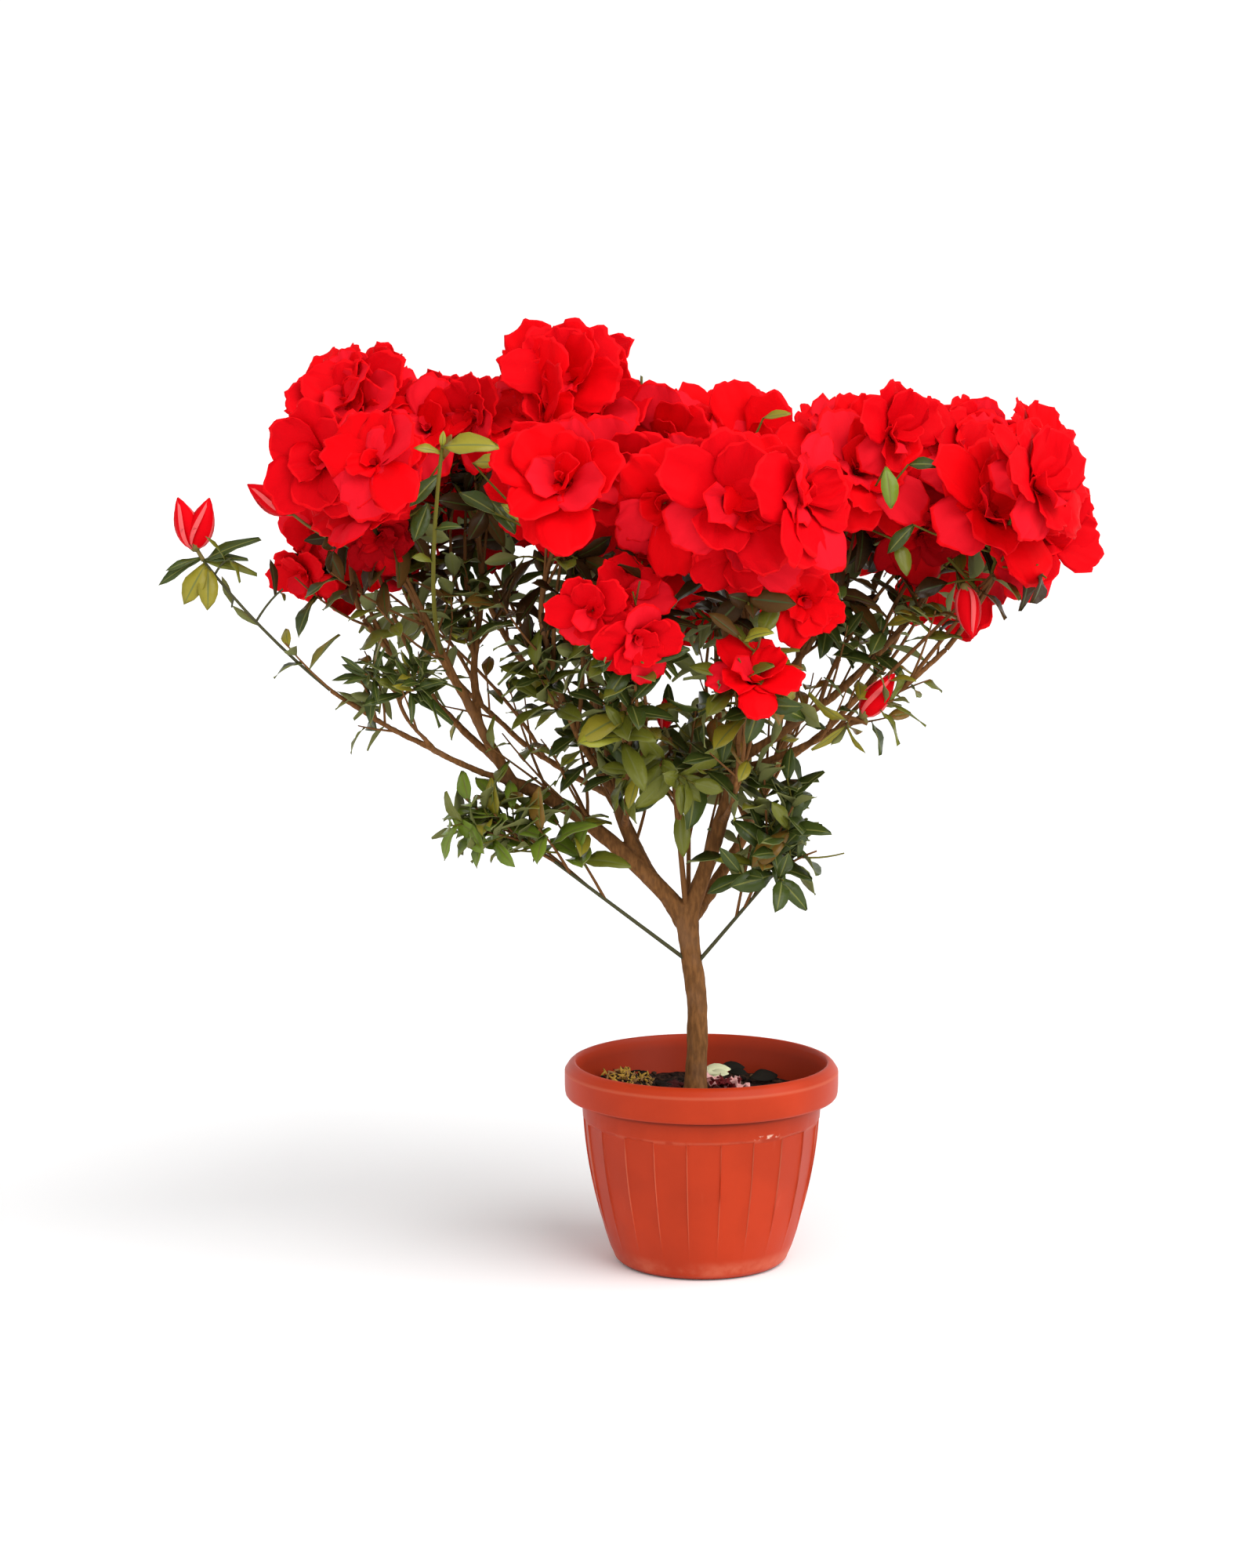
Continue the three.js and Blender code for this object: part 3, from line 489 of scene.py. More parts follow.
class Joined:
    """Copies of small shapes gathered into one piece."""

    def __init__(self):
        self.points, self.corners, self.sizes, self.finishes, self.count = [], [], [], [], 0

    def add(self, shape, points, finishes=None):
        """Takes one finish for all the faces, one for each, or the shape's own."""
        finishes = shape.finishes if finishes is None else finishes
        self.points.append(points)
        self.corners.append(shape.corners + self.count)
        self.sizes.append(shape.sizes)
        self.finishes.append(np.broadcast_to(finishes, len(shape.sizes)))
        self.count += len(points)

    def piece(self, name, finishes):
        """The gathered copies, in millimetres, as one object in metres."""
        mesh = bpy.data.meshes.new(name)
        sizes = np.concatenate(self.sizes)
        mesh.vertices.add(self.count)
        mesh.vertices.foreach_set("co", (np.concatenate(self.points) * MM).astype(np.float32).ravel())
        mesh.loops.add(int(sizes.sum()))
        mesh.loops.foreach_set("vertex_index", np.concatenate(self.corners).astype(np.int32))
        mesh.polygons.add(len(sizes))
        mesh.polygons.foreach_set("loop_start", (np.cumsum(sizes) - sizes).astype(np.int32))
        mesh.polygons.foreach_set("material_index", np.concatenate(self.finishes).astype(np.int32))
        mesh.update(calc_edges=True)
        mesh.validate()
        return dress(name, mesh, finishes)


def dress(name, mesh, finishes, sharp=None):
    """A mesh as a smooth object in the scene, in its finishes."""
    mesh.shade_smooth()
    if sharp:
        mesh.set_sharp_from_angle(angle=math.radians(sharp))
    for finish in finishes:
        mesh.materials.append(finish)
    piece = bpy.data.objects.new(name, mesh)
    bpy.context.scene.collection.objects.link(piece)
    return piece


def shaped(name, bm, finishes, sharp=None):
    """A finished bmesh as an object in the scene."""
    mesh = bpy.data.meshes.new(name)
    bm.to_mesh(mesh)
    bm.free()
    return dress(name, mesh, finishes, sharp)


def stand_for(piece, nodes=()):
    """The piece rides on the plant's one body and hides the solids it shows."""
    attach(piece, "root")
    if nodes:
        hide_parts(*nodes)


def tube_shape(sides, steps):
    """A straight capped tube of unit size, to be bent along a line."""
    bm = bmesh.new()
    bmesh.ops.create_cone(bm, cap_ends=True, cap_tris=False, segments=sides, radius1=1, radius2=1, depth=1)
    longs = [edge for edge in bm.edges if abs(edge.verts[0].co.z - edge.verts[1].co.z) > 0.5]
    bmesh.ops.subdivide_edges(bm, edges=longs, cuts=steps - 1)
    return Shape(bm)


def bend(shape, line, radius):
    """A tube's points carried along a line."""
    shares = shape.points[:, 2] + 0.5
    levels = np.unique(np.round(shares, 5))
    which = np.searchsorted(levels, np.round(shares, 5))
    middles = line.at(levels)
    ways = np.array([line.way(level) for level in levels])
    first = square_to(ways[0])[0]
    firsts = []
    for way in ways:
        first = unit(first - way * (first @ way))
        firsts.append(first)
    firsts = np.array(firsts)
    seconds = np.cross(ways, firsts)
    off = firsts[which] * shape.points[:, :1] + seconds[which] * shape.points[:, 1:2]
    return middles[which] + off * radius(shares)[:, None]


def turned(points, first, second, third, place, size=1.0):
    """Points carried from their own axes to three directions at a place."""
    return points @ (np.array((first, second, third)) * size) + place


def laid(leaf, root, way, upper, length):
    """A leaf's points along a way, its face turned towards the upper side."""
    side = unit(np.cross(way, upper))
    return turned(leaf.points, side, way, np.cross(side, way), root, length)


class Wire:
    """A shader value that Python's operators join into Math nodes."""

    def __init__(self, finish, socket):
        self.finish, self.socket = finish, socket

    def maths(self, operation, *values):
        return self.finish.node("Math", {"operation": operation}, dict(enumerate(values)))

    def __add__(self, other):
        return self.maths("ADD", self, other)

    __radd__ = __add__

    def __mul__(self, other):
        return self.maths("MULTIPLY", self, other)

    def __rsub__(self, other):
        return self.maths("SUBTRACT", other, self)


class Nodes:
    """A node tree, and the one way that nodes are added to it."""

    def __init__(self, tree):
        self.tree = tree

    def join(self, value, socket):
        if isinstance(value, Wire):
            self.tree.links.new(value.socket, socket)
        else:
            socket.default_value = value

    def node(self, kind, settings, sockets, output=0):
        made = self.tree.nodes.new("ShaderNode" + kind)
        for name, value in settings.items():
            setattr(made, name, value)
        for name, value in sockets.items():
            self.join(value, made.inputs[name])
        return Wire(self, made.outputs[output])


class Finish(Nodes):
    """A material: one Principled shader, its plain settings, and the nodes that feed it."""

    def __init__(self, name, colour, roughness, specular):
        self.material = bpy.data.materials.new(name)
        self.material.use_nodes = True
        super().__init__(self.material.node_tree)
        self.shader = self.tree.nodes["Principled BSDF"]
        self.material.diffuse_color = (*colour, 1)
        self.set({"Base Color": (*colour, 1), "Roughness": roughness, "Specular IOR Level": specular})

    def set(self, sockets):
        for name, value in sockets.items():
            self.join(value, self.shader.inputs[name])

    def place(self):
        return self.node("TexCoord", {}, {}, "Object")

    def noise(self, scale, detail=4.0, stretch=(1, 1, 1)):
        spot = self.node("Mapping", {}, {"Vector": self.place(), "Scale": stretch})
        return self.node("TexNoise", {}, {"Vector": spot, "Scale": scale, "Detail": detail})

    def band(self, value, low, high):
        """0 below low and 1 above high."""
        limits = {"Value": value, "From Min": low, "From Max": high}
        return self.node("MapRange", {"interpolation_type": "SMOOTHSTEP"}, limits)

    def between(self, value, low, full, fading, high):
        """0 outside low and high, and 1 from full to fading."""
        return self.band(value, low, full) * (1 - self.band(value, fading, high))

    def blend(self, share, first, second):
        """Two colours mixed by a share."""
        sides = {0: share, 6: first if isinstance(first, Wire) else (*first, 1)}
        sides[7] = second if isinstance(second, Wire) else (*second, 1)
        return self.node("Mix", {"data_type": "RGBA"}, sides, 2)

    def relief(self, height, depth, distance=0.001):
        bump = {"Height": height, "Strength": depth, "Distance": distance}
        self.set({"Normal": self.node("Bump", {}, bump)})


def toned(colour, factor):
    return tuple(c * factor for c in colour)


def pot_finish(colour):
    """Satin orange-red plastic: mottled, streaked and scuffed, worn pale at the foot; painted shade under the
    collar, inside the rim and along the foot's lowest edge, painted highlights on the collar's ridge and on
    some ribs, and painted shade on the other ribs.
    """
    finish = Finish("pot_plastic", colour, 0.42, 0.14)
    x, y, height = (finish.node("SeparateXYZ", {}, {"Vector": finish.place()}, k) for k in range(3))
    marks = ({"attribute_name": name} for name in ("rib", "shade"))
    rib, shade = (finish.node("Attribute", mark, {}, "Fac") for mark in marks)
    mottle = finish.noise(24.0, 5.0)
    fine = finish.noise(240.0, 4.0)
    streaks = finish.noise(110.0, 3.0, (1, 1, 0.1))
    tone = finish.blend(finish.band(mottle, 0.35, 0.65), toned(colour, 0.92), toned(colour, 1.06))
    rub = finish.band(streaks, 0.58, 0.8) * finish.between(height, 0.012, 0.03, 0.07, 0.075)
    tone = finish.blend(rub * 0.22, tone, toned(colour, 0.7))
    pale = (1 - finish.band(streaks, 0.26, 0.4)) * finish.between(height, 0.03, 0.045, 0.07, 0.076)
    tone = finish.blend(pale * 0.22, tone, (0.72, 0.2, 0.12))
    collar = finish.band(x * x + y * y, 0.0668**2, 0.0675**2)
    # Painted highlight: a pale line along the outside of the collar's ridge
    ridge_highlight = finish.between(height, 0.0983, 0.0994, 0.0996, 0.1007) * collar
    foot = finish.between(height, 0.001, 0.004, 0.006, 0.012)
    # Picks the ribs that take a painted highlight; the others take painted shade
    lit_ribs = finish.band(streaks, 0.42, 0.56)
    # Pale wear at the foot, and painted highlight on the collar's ridge and on the picked ribs
    wear_and_highlight = ridge_highlight * 0.16 + foot * 0.3 * finish.band(mottle + fine * 0.3, 0.5, 0.8) + rib * lit_ribs * 0.4
    tone = finish.blend(wear_and_highlight, tone, (0.72, 0.26, 0.15))
    # Painted shade: the ribs without a highlight darkened
    tone = finish.blend(rib * (1 - lit_ribs) * 0.45, tone, toned(colour, 0.45))
    scuff = finish.between(x, 0.0245, 0.0265, 0.036, 0.0385) * (1 - finish.band(y, -0.02, 0.0))
    scuff = scuff * finish.between(height, 0.0748, 0.0755, 0.0766, 0.0774) * finish.band(fine, 0.42, 0.56)
    tone = finish.blend(scuff * 0.8, tone, (0.8, 0.55, 0.42))
    # Painted shade: the wall just under the collar and the collar's hollow underside darkened, the inside of
    # the wall less so
    tone = finish.blend(shade * 0.78, tone, toned(colour, 0.22))
    # Painted contact shadow: the lowest 1.6 mm of the pot darkened to near black
    contact_shadow = (1 - finish.band(height, 0.0, 0.0016)) * 0.8
    tone = finish.blend(contact_shadow, tone, (0.06, 0.02, 0.02))
    finish.set({"Base Color": tone, "Roughness": 0.34 + mottle * 0.12 + wear_and_highlight * 0.25})
    finish.relief(finish.noise(1100.0, 2.0), 0.1, 0.0003)
    return finish.material


def soil_finish(colour):
    """Moist dark peat with paler fibres."""
    finish = Finish("soil_peat", colour, 0.95, 0.15)
    crumbs = finish.noise(420.0, 6.0)
    clods = finish.noise(90.0, 4.0)
    tone = finish.blend(finish.band(crumbs, 0.4, 0.68), toned(colour, 0.45), toned(colour, 2.4))
    tone = finish.blend(finish.band(clods, 0.55, 0.75) * 0.5, tone, (0.1, 0.055, 0.03))
    finish.set({"Base Color": tone})
    finish.relief(crumbs + clods, 0.9, 0.0012)
    return finish.material


def bark_finish(colour):
    """Fine brown bark with greyer plates and darker fissures along the limb."""
    finish = Finish("azalea_bark", colour, 0.85, 0.1)
    grain = finish.noise(560.0, 6.0, (1, 1, 0.3))
    patches = finish.noise(70.0, 4.0, (1, 1, 0.5))
    tone = finish.blend(finish.band(grain, 0.36, 0.66), toned(colour, 0.7), toned(colour, 1.15))
    grey = tuple(0.35 * sum(colour) / 3 + 0.95 * c for c in colour)
    tone = finish.blend(finish.band(patches, 0.5, 0.7) * 0.45, tone, grey)
    finish.set({"Base Color": tone, "Roughness": 0.75 + grain * 0.2})
    finish.relief(grain, 0.8, 0.0006)
    return finish.material


FINISHES = {}


def plain(name, colour, roughness, specular=0.15, grain=500.0, depth=0.3):
    """A finish of one colour whose gloss and surface vary finely, made once and shared by its pieces."""
    if name not in FINISHES:
        finish = Finish(name, colour, roughness, specular)
        speck = finish.noise(grain, 3.0)
        finish.set({"Roughness": roughness - 0.1 + speck * 0.2})
        finish.relief(speck, depth, 0.0005)
        FINISHES[name] = finish.material
    return FINISHES[name]


# The leaves' finishes by their number: the tones that sprays take, then a leaf's parts and the shaded tones
DEEP, MIDDLE, OLIVE, YOUNG, BRONZE, FRESH, MIDRIB, UNDERSIDE, DUSK, UMBER = range(10)
SPRAY_FINISHES = 5


def leaf_finishes(sizes):
    """The finishes of all leaves, in the order of their numbers."""
    base = Vector(sizes.leaf_colour)
    tones = [
        ("leaf_deep", base * Vector((0.28, 0.34, 0.5))), ("leaf_green", base * Vector((0.9, 0.8, 0.8))),
        ("leaf_olive", base * Vector((1.7, 1.2, 1.0))), ("leaf_young", base * Vector((2.1, 1.75, 1.6))),
        ("leaf_bronze", base * Vector((1.4, 0.62, 0.9))), ("leaf_fresh", base * Vector((0.98, 1.18, 1.0))),
    ]
    return [plain(name, tuple(tone), 0.32, 0.26, 700.0) for name, tone in tones] + [
        plain("leaf_midrib", (0.16, 0.17, 0.04), 0.5, 0.16),
        plain("leaf_underside", (0.17, 0.18, 0.06), 0.65, 0.1),
        # Painted shade tones for the leaves under the blooms
        plain("leaf_shade_dusk", (0.092, 0.044, 0.01), 0.4, 0.1, 700.0),
        plain("leaf_shade_umber", (0.042, 0.02, 0.006), 0.4, 0.1, 700.0),
    ]


# Painted shade on leaves close under the crown's blooms: the darker tones that they have in place of their
# own, the least heights of such leaves and blooms, and how far below and aside of a bloom such a leaf is
SHADE_UNDER_BLOOMS = {DEEP: UMBER, OLIVE: DUSK, BRONZE: DUSK}
UNDER_LEVEL, CROWN_LEVEL = 322, 380
UNDER_FROM, UNDER_TO, UNDER_ASIDE = 4, 60, 30
# The petals' finishes by their number
SCARLET, CRIMSON, ROSE, THROAT, CALYX, EDGE, PETAL_SHADE = range(7)


def petal_finishes(sizes):
    """The finishes of all petals, in the order of their numbers."""
    red, green, blue = sizes.petal_colour
    return [
        plain("petal_scarlet", (red, green, blue), 0.6, 0.03, 260.0, 0.4),
        plain("petal_crimson", (red * 0.84, green, blue * 1.2), 0.6, 0.03, 260.0, 0.4),
        # Painted highlight: a paler, pinker tone dealt to some petals
        plain("petal_rose_highlight", (red, green * 8, blue * 4.5), 0.6, 0.03, 260.0, 0.4),
        # Painted shade: the throat's darker tone, deep in the bloom
        plain("petal_throat", (red * 0.66, green, blue), 0.6, 0.03),
        plain("petal_calyx", (0.14, 0.15, 0.04), 0.6),
        # The edges' paler tone: partly the petals' own paler margin, partly painted rim light
        plain("petal_edge", (red * 1.02, green * 3.5, blue * 1.8), 0.6, 0.03, 260.0),
        # Painted shade: the darker tone of blooms that others cover
        plain("petal_shade", (red * 0.45, green * 0.7, blue * 0.9), 0.6, 0.03, 260.0, 0.4),
    ]


class AzaleaSizes(bpy.types.PropertyGroup):
    """Sizes and colours of the plant and its pot."""

    def length(name, text, default):
        return bpy.props.FloatProperty(
            name=name, description=text, default=default, min=0, precision=4,
            unit="LENGTH", subtype="DISTANCE",
        )

    def colour(name, text, default):
        return bpy.props.FloatVectorProperty(
            name=name, description=text, default=default, size=3, min=0, max=1, subtype="COLOR"
        )

    pot_height: length("Pot height", "Height of the pot's rim", POT_HIGH.z)
    collar_radius: length("Collar radius", "Radius of the pot's collar", POT_HIGH.x)
    collar_height: length("Collar height", "Height of the folded collar", 0.0175)
    pot_wall: length("Pot wall", "Thickness of the pot's wall", 0.0022)
    panel_depth: length("Panel depth", "How far the wall's panels are sunk", 0.0007)
    soil_top: length("Soil level", "Height of the soil's surface", SOIL_TOP)
    bark_relief: length("Bark relief", "Depth of the bark's fissures", 0.00035)
    leaf_length: length("Leaf length", "Length of a full leaf", 0.023)
    petal_wave: length("Petal wave", "Height of the ruffles on a petal's edge", 0.0024)
    pot_colour: colour("Pot colour", "Colour of the pot's plastic", (0.425, 0.034, 0.0072))
    soil_colour: colour("Soil colour", "Colour of the peat", (0.022, 0.011, 0.007))
    bark_colour: colour("Bark colour", "Colour of trunk and boughs", (0.205, 0.088, 0.028))
    leaf_colour: colour("Leaf colour", "Middle tone of the leaves", (0.158, 0.19, 0.02))
    petal_colour: colour("Petal colour", "Main tone of the petals", (0.79, 0.001, 0.0042))


def spun(points, steps):
    """A profile of (radius, height) points turned once round the upright axis, closed at the axis."""
    bm = bmesh.new()
    verts = [bm.verts.new((radius, 0, height)) for radius, height in points]
    edges = [bm.edges.new(pair) for pair in zip(verts, verts[1:])]
    bmesh.ops.spin(
        bm, geom=verts + edges, cent=(0, 0, 0), axis=(0, 0, 1), angle=math.tau, steps=steps, use_merge=True
    )
    bmesh.ops.remove_doubles(bm, verts=bm.verts, dist=1e-6)
    bmesh.ops.recalc_face_normals(bm, faces=bm.faces)
    return bm


class AZALEA_OT_pot(bpy.types.Operator):
    """Make the pot: a tapering wall of flat panels under a plain band and a folded collar"""

    bl_idname = "azalea.pot"
    bl_label = "Pot"

    PANELS = 22
    COLUMNS = 6
    PANEL_ROWS = 10
    PANEL_LOW, PANEL_HIGH = 0.011, 0.0745
    PANEL_TOP = PANEL_HIGH - 0.001
    WALL_LOW, WALL_HIGH = 0.0055, 0.074
    WALL_FOOT, WALL_HEAD, BELLY = 0.0458, 0.0605, 0.0104
    WALL_SKIN = 0.0008
    RIB_WIDTH, RIB_HEAD = 0.0004, 0.4
    UNEVEN = 0.0012
    SHARP = 20
    FADE_LOW, FADE_HIGH = 0.013, 0.04
    SHADE_LOW = 0.0828

    def execute(self, context):
        sizes = context.scene.azalea
        rim, collar, wall = sizes.pot_height, sizes.collar_radius, sizes.pot_wall
        foot = rim - sizes.collar_height
        profile = [(0, 0.0006), (0.037, 0.0006), (0.0376, 0), (0.0398, 0), (0.0425, 0.0008)]
        profile += [(0.0444, 0.0026), (0.0454, 0.0052), (self.wall_at(0.008), 0.008)]
        shares = [k / self.PANEL_ROWS for k in range(self.PANEL_ROWS + 1)]
        heights = [mix(self.PANEL_LOW, self.PANEL_HIGH, share) for share in shares]
        profile += [(self.wall_at(height), height) for height in heights]
        profile += [
            (self.wall_at(self.PANEL_HIGH) + 0.0002, self.PANEL_HIGH + 0.0012), (0.0612, self.SHADE_LOW),
            (0.0613, 0.0845), (0.0634, foot + 0.0075), (collar - wall, foot + 0.0075),
            (collar - wall, foot + 0.0012), (collar - wall + 0.0004, foot + 0.0003),
            (collar - wall + 0.001, foot), (collar - 0.0011, foot + 0.0002),
            (collar - 0.0005, foot + 0.0009), (collar - 0.0002, foot + 0.0022), (collar, foot + 0.0055),
            (collar, foot + 0.0124), (collar - 0.0001, foot + 0.013), (collar - 0.0005, foot + 0.0135),
            (collar - 0.0011, rim - 0.0029), (collar - 0.002, rim - 0.0016),
            (collar - 0.0031, rim - 0.0006),
            (collar - 0.0042, rim - 0.0001), (0.0653, rim), (0.0645, rim - 0.0003), (0.064, rim - 0.0012),
            (0.0637, rim - 0.003), (0.0629, rim - 0.007), (0.0607, 0.086), (0.0583, 0.074), (0.0533, 0.04),
            (0.0438, 0.006), (0.0405, 0.003), (0, 0.003),
        ]
        bm = spun(profile, self.PANELS * self.COLUMNS)
        self.cut_panels(bm, sizes.panel_depth)
        self.mark_shade(bm, foot)
        piece = shaped("azalea_pot", bm, [pot_finish(tuple(sizes.pot_colour))], self.SHARP)
        stand_for(piece, ["pot"])
        return {"FINISHED"}

    def wall_at(self, height):
        """Outside radius of the slightly bellied wall."""
        share = (height - self.WALL_LOW) / (self.WALL_HIGH - self.WALL_LOW)
        return mix(self.WALL_FOOT, self.WALL_HEAD, share) + self.BELLY * share * (1 - share)

    def cut_panels(self, bm, depth):
        """Flattens each panel of the wall and sinks it between thin ribs that fade out towards the foot."""
        pitch = math.tau / self.PANELS
        rib = bm.verts.layers.float.new("rib")
        panels = {}
        for face in bm.faces:
            middle = face.calc_center_median()
            outside = math.hypot(middle.x, middle.y) > self.wall_at(middle.z) - self.WALL_SKIN
            if self.PANEL_LOW < middle.z < self.PANEL_HIGH and outside:
                index = int((math.atan2(middle.y, middle.x) % math.tau) / pitch)
                panels.setdefault(index, []).append(face)
        done = set()
        for index, faces in panels.items():
            centre = (index + 0.5) * pitch
            for vert in {vert for face in faces for vert in face.verts} - done:
                done.add(vert)
                off = (math.atan2(vert.co.y, vert.co.x) - centre + math.pi) % math.tau - math.pi
                flat = mix(1, math.cos(pitch / 2) / math.cos(off), self.fade(vert.co.z))
                vert.co.x *= flat
                vert.co.y *= flat
        draw = stream(5)
        # The ribs' mark, which carries their painted highlights and painted shade
        for vert in done:
            vert[rib] = self.fade(vert.co.z) * (1 if vert.co.z < self.PANEL_TOP else self.RIB_HEAD)
        for faces in panels.values():
            bmesh.ops.inset_region(bm, faces=faces, thickness=self.RIB_WIDTH, depth=0, use_even_offset=True)
            lower = self.UNEVEN * next(draw)
            for vert in {vert for face in faces for vert in face.verts}:
                vert[rib] = 0
                sunk = 1 - depth * self.fade(vert.co.z) / math.hypot(vert.co.x, vert.co.y)
                vert.co.x *= sunk
                vert.co.y *= sunk
                if vert.co.z > self.PANEL_TOP:
                    vert.co.z -= lower

    def mark_shade(self, bm, foot):
        """Marks the wall under the collar and the collar's hollow underside for painted shade, and the inside
        of the wall above the soil for a lighter painted shade.
        """
        shade = bm.verts.layers.float.new("shade")
        for vert in bm.verts:
            radius = math.hypot(vert.co.x, vert.co.y)
            if radius > 0.061 and self.SHADE_LOW + 0.001 < vert.co.z < foot + 0.009 and radius < 0.0684:
                vert[shade] = 1
            elif radius < 0.063 and vert.co.z > self.SHADE_LOW + 0.001:
                vert[shade] = 0.4

    def fade(self, height):
        share = min(1, max(0, (height - self.FADE_LOW) / (self.FADE_HIGH - self.FADE_LOW)))
        return share * share * (3 - 2 * share)


# The crumbs' and the litter's finishes by their numbers
PEAT_DARK, PEAT_BROWN, PEAT_FIBRE, PEAT_MAROON = range(4)
PALE_LEAF, YELLOW, PETAL, DARK_LEAF, TAN, MAROON = range(6)
MOSS = (YELLOW, TAN, YELLOW, DARK_LEAF)
# Fallen leaves on the soil, in millimetres: place, how far it is lifted, the way it points, length, tone
FALLEN_LEAVES = [
    (0, 31, 6, (1, -0.12, 0.2), 16, PALE_LEAF), (3, 30, 4, (1, -0.5, 0.3), 13, PALE_LEAF),
    (10, 42, 6, (1, 0.1, 0.04), 14, DARK_LEAF), (15, 33, 5, (0.8, -0.5, 0.1), 11, DARK_LEAF),
    (26, 26, 3, (0.8, 0.5, 0.05), 18, DARK_LEAF), (34, 4, 3, (0.6, -0.8, -0.1), 15, DARK_LEAF),
]


def clod_shape():
    """A small lump, to be made uneven copy by copy."""
    bm = bmesh.new()
    bmesh.ops.create_icosphere(bm, subdivisions=1, radius=1)
    return Shape(bm)


def lumps(draw, shape, depth):
    """Uneven factors for the points of a shape."""
    return 1 + depth * np.array([next(draw) - 0.5 for _ in shape.points])[:, None]


def heaped(draw, middle, width):
    """A place near a middle, more often close than far."""
    return middle + width * (next(draw) + next(draw) - 1)


